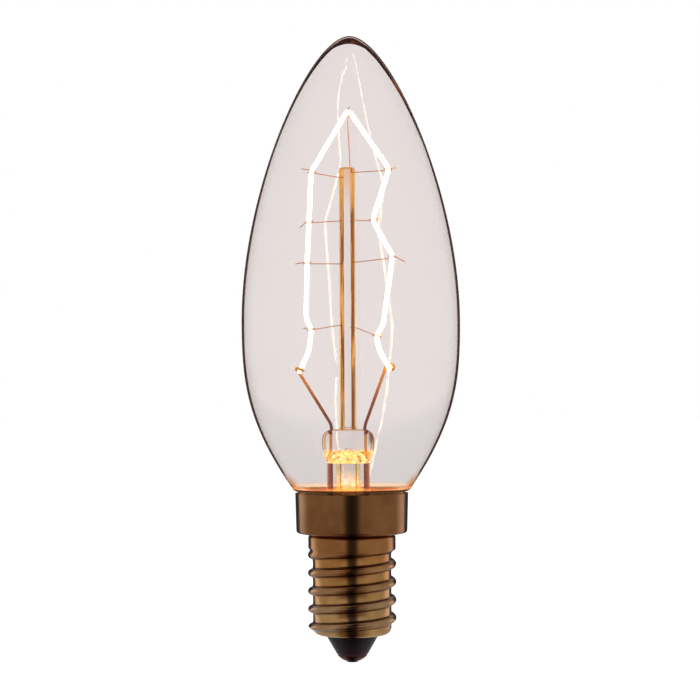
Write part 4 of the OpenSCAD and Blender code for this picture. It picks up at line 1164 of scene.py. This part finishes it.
contact_height, contact_radius, shank_radius = low, 2.3 * MM, 0.9 * MM
shell_floor = shell_bottom + brass_sheet
fill_radius = valley_radius - shell_corner
rim_round = 0.15 * MM
cone = [(shank_radius, contact_height), (contact_radius - rim_round, contact_height)]
cone += arc((contact_radius - rim_round, contact_height + rim_round), rim_round, -90, -20, 6)
cone += [(contact_radius + (insulator_radius - contact_radius) * t,
          contact_height + (shell_bottom - contact_height) * t) for t in np.linspace(0.1, 1, 14)]
cone += [(insulator_radius, shell_floor), (fill_radius, shell_floor), (fill_radius, insulator_top),
         (2 * shank_radius, shell_floor + 0.4 * MM), (shank_radius, shell_floor - 0.4 * MM)]
skin("insulator_glass", [turned(cone, 128)], black_glass, ["insulator"], looped=True)

# %% Shape of the contact
sphere_radius = (contact_radius ** 2 + contact_height ** 2) / (2 * contact_height)
solder_radius, flat_radius, bore_radius = 1.25 * MM, 0.8 * MM, 0.6 * MM


def contact_face(radius):
    """Height of the contact's rounded face at a distance from the axis."""
    return sphere_radius - math.sqrt(sphere_radius ** 2 - radius ** 2)


eyelet_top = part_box("contact_eyelet")[1].z
eyelet = [(bore_radius, contact_face(solder_radius))]
eyelet += [(r, contact_face(r)) for r in np.linspace(solder_radius, contact_radius, 14)]
eyelet += [(shank_radius, contact_height), (shank_radius, eyelet_top), (bore_radius, eyelet_top)]
print("sphere of the contact's face in mm:", round(sphere_radius / MM, 2))

# %% Brass, stamped and tarnished
# A dull purple-brown film covers it, so that it hardly shines.
tarnished, tree, shader = new_material("brass_stamped_and_tarnished", Metallic=1.0, Roughness=0.55)
place = add(tree, "ShaderNodeTexCoord")
stains = add(tree, "ShaderNodeTexNoise", links={"Vector": place.outputs["Object"]},
             sockets={"Scale": 1 / (1.2 * MM), "Detail": 5.0})
stained = add(tree, "ShaderNodeMapRange", links={"Value": stains.outputs["Fac"]},
              sockets={"From Min": 0.35, "From Max": 0.65}, **EASED)
film = add(tree, "ShaderNodeMix", links={SHARE: stained.outputs["Result"]},
           sockets={FIRST: "#4a3034", SECOND: "#7a5654"}, **COLOURS)
tree.links.new(film.outputs[MIXED], shader.inputs["Base Color"])
skin("contact_eyelet_brass", [turned(eyelet, 96)], tarnished, ["contact_eyelet"], looped=True)

# %% Tin-lead solder, melted and dulled
# It sets with a lumpy skin and goes dark grey, so it scatters what little it mirrors.
solder, tree, shader = new_material("tin_lead_solder_melted_and_dulled", Metallic=0.85, Roughness=0.5)
place = add(tree, "ShaderNodeTexCoord")
crust = add(tree, "ShaderNodeTexNoise", links={"Vector": place.outputs["Object"]},
            sockets={"Scale": 1 / (0.7 * MM), "Detail": 5.0})
tones = add(tree, "ShaderNodeValToRGB", links={"Fac": crust.outputs["Fac"]}, stops=[
    (0.3, "#342c2e"), (0.7, "#5e5654")])
tree.links.new(tones.outputs["Color"], shader.inputs["Base Color"])
bump = add(tree, "ShaderNodeBump", links={"Height": crust.outputs["Fac"]},
           sockets={"Strength": 0.5, "Distance": 0.08 * MM})
tree.links.new(bump.outputs["Normal"], shader.inputs["Normal"])

solder_top = contact_height + 1.2 * MM
blob = [(0, 0)] + [(r, 0) for r in np.linspace(0.1 * MM, flat_radius, 5)]
blob += [(r, contact_face(r)) for r in np.linspace(flat_radius + 0.05 * MM, solder_radius, 8)]
blob += [(bore_radius, contact_face(solder_radius)), (bore_radius, solder_top), (outer_radius, solder_top),
         (outer_radius, contact_low), (0, contact_low)]
skin("contact_solder_blob", [turned(blob, 96)], solder, ["contact_solder"])

# %% [markdown]
# ## The side solder
#
# The lead that comes up through the cement is soldered to the collar's rim at the
# back: a small uneven drop that laps over the rim. It is a ball pulled inwards
# where the glass and the brass would cut it, with shallow dents like cooled
# solder, so that the drop sits on both instead of passing through them.

# %% Drop of solder on the rim
drop_radius = 0.75 * MM
drop_middle = np.array([0, collar_radius, collar_top - 0.1 * MM])
rings = []
for polar in np.linspace(0, math.pi, 33):
    ring = []
    for a in np.linspace(0, 2 * math.pi, 48, endpoint=False):
        way = np.array([math.sin(polar) * math.cos(a), math.sin(polar) * math.sin(a), -math.cos(polar)])
        dent = 1 - 0.05 * (1 + math.sin(3 * a + 1)) * math.sin(2 * polar) ** 2
        point = drop_middle + drop_radius * dent * way
        out = math.hypot(point[0], point[1])
        keep_out = collar_radius + 0.005 * MM
        if point[2] > collar_top:
            climbed = (point[2] - neck_top) / (shoulder[1] - neck_top)
            keep_out = neck_radius + (shoulder[0] - neck_radius) * climbed
        if out < keep_out:
            point[:2] *= keep_out / out
        ring.append(point)
    rings.append(ring)
skin("side_solder_drop", [rings], solder, ["side_solder"])

# %% [markdown]
# ## The studio
#
# The lamp stands on its cap, on a plain white floor in a plain white room. The
# floor is white to the eye and keeps the lamp's soft shadow. Seen through the
# glass it is one even pale tone, slightly greyer near the lamp, so that no shadow
# or patch of light is bent into the glass.
#
# Polished things need something to mirror, and plain white would leave the brass
# flat and the glass without its dark rim. So the world and the floor both show
# them a studio: two bright sides, a dark gap in front and a dark panel behind. The
# gap draws the soft dark stripe down the middle of the brass, and the panel its
# dark edges. Above and below the level, the tones next to the gap are a little
# darker, which softens the stripe where the brass tilts. Glass mirrors more
# sharply than brass, so it has tones of its own. Two large lamps stand in front at
# the sides and light the lamp without being seen in it.

# %% What polished things mirror
dim, plain, bright = (0.055, 0.052, 0.075, 1), (0.6, 0.58, 0.56, 1), (1.25, 1.22, 1.18, 1)


def mirrored_studio(tree, ray, way):
    """The studio's tone in a direction: one for brass, and one for glass, whose mirror image is sharp."""
    unit_way = add(tree, "ShaderNodeVectorMath", links={0: way}, operation="NORMALIZE")
    full = add(tree, "ShaderNodeSeparateXYZ", links={0: unit_way.outputs[0]})
    level = add(tree, "ShaderNodeCombineXYZ", links={"X": full.outputs["X"], "Y": full.outputs["Y"]})
    level_way = add(tree, "ShaderNodeVectorMath", links={0: level.outputs[0]}, operation="NORMALIZE")
    round_way = add(tree, "ShaderNodeSeparateXYZ", links={0: level_way.outputs[0]})
    turn = add(tree, "ShaderNodeMapRange", links={"Value": round_way.outputs["Y"]},
               sockets={"From Min": -1.0, "From Max": 1.0})
    upright = add(tree, "ShaderNodeMath", links={0: full.outputs["Z"]}, operation="ABSOLUTE")
    panels = add(tree, "ShaderNodeValToRGB", links={"Fac": turn.outputs["Result"]}, stops=[
        (0.007, dim), (0.025, plain), (0.6, plain), (0.74, bright), (0.83, bright), (0.88, dim)])
    off_level = add(tree, "ShaderNodeMapRange", links={"Value": upright.outputs[0]},
                    sockets={"From Min": 0.06, "From Max": 0.3}, **EASED)
    by_gap = add(tree, "ShaderNodeMapRange", links={"Value": turn.outputs["Result"]},
                 sockets={"From Min": 0.2, "From Max": 0.02}, **EASED)
    frayed = add(tree, "ShaderNodeMath", operation="MULTIPLY",
                 links={0: off_level.outputs["Result"], 1: by_gap.outputs["Result"]})
    darker = add(tree, "ShaderNodeMix", links={FIRST: panels.outputs["Color"]},
                 sockets={SHARE: 1.0, SECOND: "#a48c80"}, blend_type="MULTIPLY", **COLOURS)
    shaded = add(tree, "ShaderNodeMix", **COLOURS, links={
        SHARE: frayed.outputs[0], FIRST: panels.outputs["Color"], SECOND: darker.outputs[MIXED]})
    high = add(tree, "ShaderNodeMapRange", links={"Value": upright.outputs[0]},
               sockets={"From Min": 0.25, "From Max": 0.45}, **EASED)
    to_back = add(tree, "ShaderNodeMapRange", links={"Value": turn.outputs["Result"]},
                  sockets={"From Min": 0.5, "From Max": 0.7}, **EASED)
    high_behind = add(tree, "ShaderNodeMath", operation="MULTIPLY",
                      links={0: high.outputs["Result"], 1: to_back.outputs["Result"]})
    for_brass = add(tree, "ShaderNodeMix", sockets={SECOND: "#c8c4c0"}, **COLOURS,
                    links={SHARE: high_behind.outputs[0], FIRST: shaded.outputs[MIXED]})
    behind = add(tree, "ShaderNodeMapRange", links={"Value": full.outputs["Y"]},
                 sockets={"From Min": -1.0, "From Max": 1.0})
    for_glass = add(tree, "ShaderNodeValToRGB", links={"Fac": behind.outputs["Result"]}, stops=[
        (0.3, (0.2, 0.19, 0.19, 1)), (0.7, (0.45, 0.43, 0.42, 1)), (0.78, (0.45, 0.43, 0.42, 1)),
        (0.86, (0.12, 0.08, 0.07, 1)), (0.92, (0.035, 0.016, 0.012, 1))])
    to_zenith = add(tree, "ShaderNodeMapRange", links={"Value": upright.outputs[0]},
                    sockets={"From Min": 0.3, "From Max": 0.55}, **EASED)
    dimmed = add(tree, "ShaderNodeMix", sockets={SECOND: "#3a2420"}, **COLOURS,
                 links={SHARE: to_zenith.outputs["Result"], FIRST: for_glass.outputs["Color"]})
    shown = add(tree, "ShaderNodeMix", **COLOURS, links={
        SHARE: ray.outputs["Is Singular Ray"], FIRST: for_brass.outputs[MIXED],
        SECOND: dimmed.outputs[MIXED]})
    return shown.outputs[MIXED]


print("tones of the studio's gap and bright side:", dim[:3], bright[:3])

# %% Floor
floor_mesh = bpy.data.meshes.new("studio_floor")
half = 3.0
corners = [(-half, -half, 0), (half, -half, 0), (half, half, 0), (-half, half, 0)]
floor_mesh.from_pydata(corners, [], [(0, 1, 2, 3)])
floor = bpy.data.objects.new("studio_floor", floor_mesh)
bpy.context.collection.objects.link(floor)
print("floor side in m:", 2 * half)

# %% Paper, white and matt
paper, tree, shader = new_material("paper_white_matt", Roughness=0.95, Base_Color="#a2a09e",
                                   Emission_Color=(1, 1, 1, 1))
output = next(node for node in tree.nodes if node.type == "OUTPUT_MATERIAL")
ray = add(tree, "ShaderNodeLightPath")
seen = add(tree, "ShaderNodeMath", operation="MAXIMUM",
           links={0: ray.outputs["Is Camera Ray"], 1: ray.outputs["Is Transmission Ray"]})
glow = add(tree, "ShaderNodeMath", links={0: ray.outputs["Is Camera Ray"]}, sockets={1: 0.85},
           operation="MULTIPLY")
tree.links.new(glow.outputs[0], shader.inputs["Emission Strength"])
place = add(tree, "ShaderNodeTexCoord")
from_lamp = add(tree, "ShaderNodeVectorMath", links={0: place.outputs["Object"]}, operation="LENGTH")
greyer = add(tree, "ShaderNodeMapRange", links={"Value": from_lamp.outputs["Value"]},
             sockets={"From Min": 0.6, "From Max": half, "To Min": 0.87, "To Max": 1.0})
even = add(tree, "ShaderNodeEmission", sockets={"Color": (0.98, 0.985, 1, 1)},
           links={"Strength": greyer.outputs["Result"]})
shown = add(tree, "ShaderNodeMixShader", links={0: ray.outputs["Is Transmission Ray"]})
tree.links.new(shader.outputs[0], shown.inputs[1])
tree.links.new(even.outputs[0], shown.inputs[2])
cap_middle = (0, 0, (shell_bottom + collar_top) / 2)
from_cap = add(tree, "ShaderNodeVectorMath", links={0: place.outputs["Object"]}, sockets={1: cap_middle},
               operation="SUBTRACT")
mirrored = add(tree, "ShaderNodeEmission", links={"Color": mirrored_studio(tree, ray, from_cap.outputs[0])})
only_mirrored = add(tree, "ShaderNodeMath", links={0: ray.outputs["Is Glossy Ray"], 1: seen.outputs[0]},
                    operation="SUBTRACT", use_clamp=True)
either = add(tree, "ShaderNodeMixShader", links={0: only_mirrored.outputs[0]})
tree.links.new(shown.outputs[0], either.inputs[1])
tree.links.new(mirrored.outputs[0], either.inputs[2])
tree.links.new(either.outputs[0], output.inputs["Surface"])
floor_mesh.materials.append(paper)
print("made", paper.name)

# %% World
world = bpy.data.worlds.new("studio")
bpy.context.scene.world = world
world.use_nodes = True
tree = world.node_tree
tree.nodes.clear()
where = add(tree, "ShaderNodeTexCoord")
ray = add(tree, "ShaderNodeLightPath")
seen = add(tree, "ShaderNodeMath", operation="MAXIMUM",
           links={0: ray.outputs["Is Camera Ray"], 1: ray.outputs["Is Transmission Ray"]})
mirrored = add(tree, "ShaderNodeBackground",
               links={"Color": mirrored_studio(tree, ray, where.outputs["Generated"])})
soft = add(tree, "ShaderNodeBackground", sockets={"Color": (1, 0.98, 0.96, 1), "Strength": 0.45})
white = add(tree, "ShaderNodeBackground", sockets={"Color": (1, 1, 1, 1), "Strength": 1.0})
lit = add(tree, "ShaderNodeMixShader", links={0: ray.outputs["Is Glossy Ray"]})
tree.links.new(soft.outputs[0], lit.inputs[1])
tree.links.new(mirrored.outputs[0], lit.inputs[2])
shown = add(tree, "ShaderNodeMixShader", links={0: seen.outputs[0]})
tree.links.new(lit.outputs[0], shown.inputs[1])
tree.links.new(white.outputs[0], shown.inputs[2])
add(tree, "ShaderNodeOutputWorld", links={"Surface": shown.outputs[0]})
print("nodes of the world:", len(tree.nodes))

# %% Lamps
for name, place, power in (("key_lamp", (-0.5, -0.6, 0.6), 6.0), ("fill_lamp", (0.6, -0.5, 0.4), 4.0)):
    light = bpy.data.lights.new(name, "AREA")
    light.energy, light.size = power, 0.5
    lamp = bpy.data.objects.new(name, light)
    bpy.context.collection.objects.link(lamp)
    lamp.location = place
    toward = bpy.data.objects[name].location * -1
    toward.z += 0.05
    lamp.rotation_euler = toward.to_track_quat("-Z", "Y").to_euler()
    lamp.visible_glossy = False
    lamp.visible_transmission = False
    lamp.visible_camera = False
    print(name, "of", power, "watts")

# %% [markdown]
# ## The camera
#
# The camera looks level at the lamp, from 293 mm away and 41 mm above the floor,
# both estimated from how round the cap's edges look in the photograph. The
# photographed lamp stands 0.3 degrees out of true, so the camera is turned by as
# much. The lens is worked out from one measured fact: in the plane of the axis, a
# pixel covers 0.157 mm.

# %% Camera
picture_width = 700
pixel_size = 0.15675 * MM
distance, eye_height = 293 * MM, 41 * MM
eye_row = 400
camera_data = bpy.data.cameras.new("camera")
camera_data.sensor_width = 36
camera_data.lens = 36 * distance / (pixel_size * picture_width)
camera_data.shift_y = (eye_row - picture_width / 2) / picture_width
camera_data.clip_start = 0.01
camera = bpy.data.objects.new("camera", camera_data)
bpy.context.collection.objects.link(camera)
camera.location = (-1.2 * pixel_size, -distance, eye_height)
camera.rotation_euler = (math.pi / 2, math.radians(0.3), 0)
bpy.context.scene.camera = camera
bpy.context.scene.view_settings.view_transform = "Standard"
print("lens in mm:", round(camera_data.lens, 1))
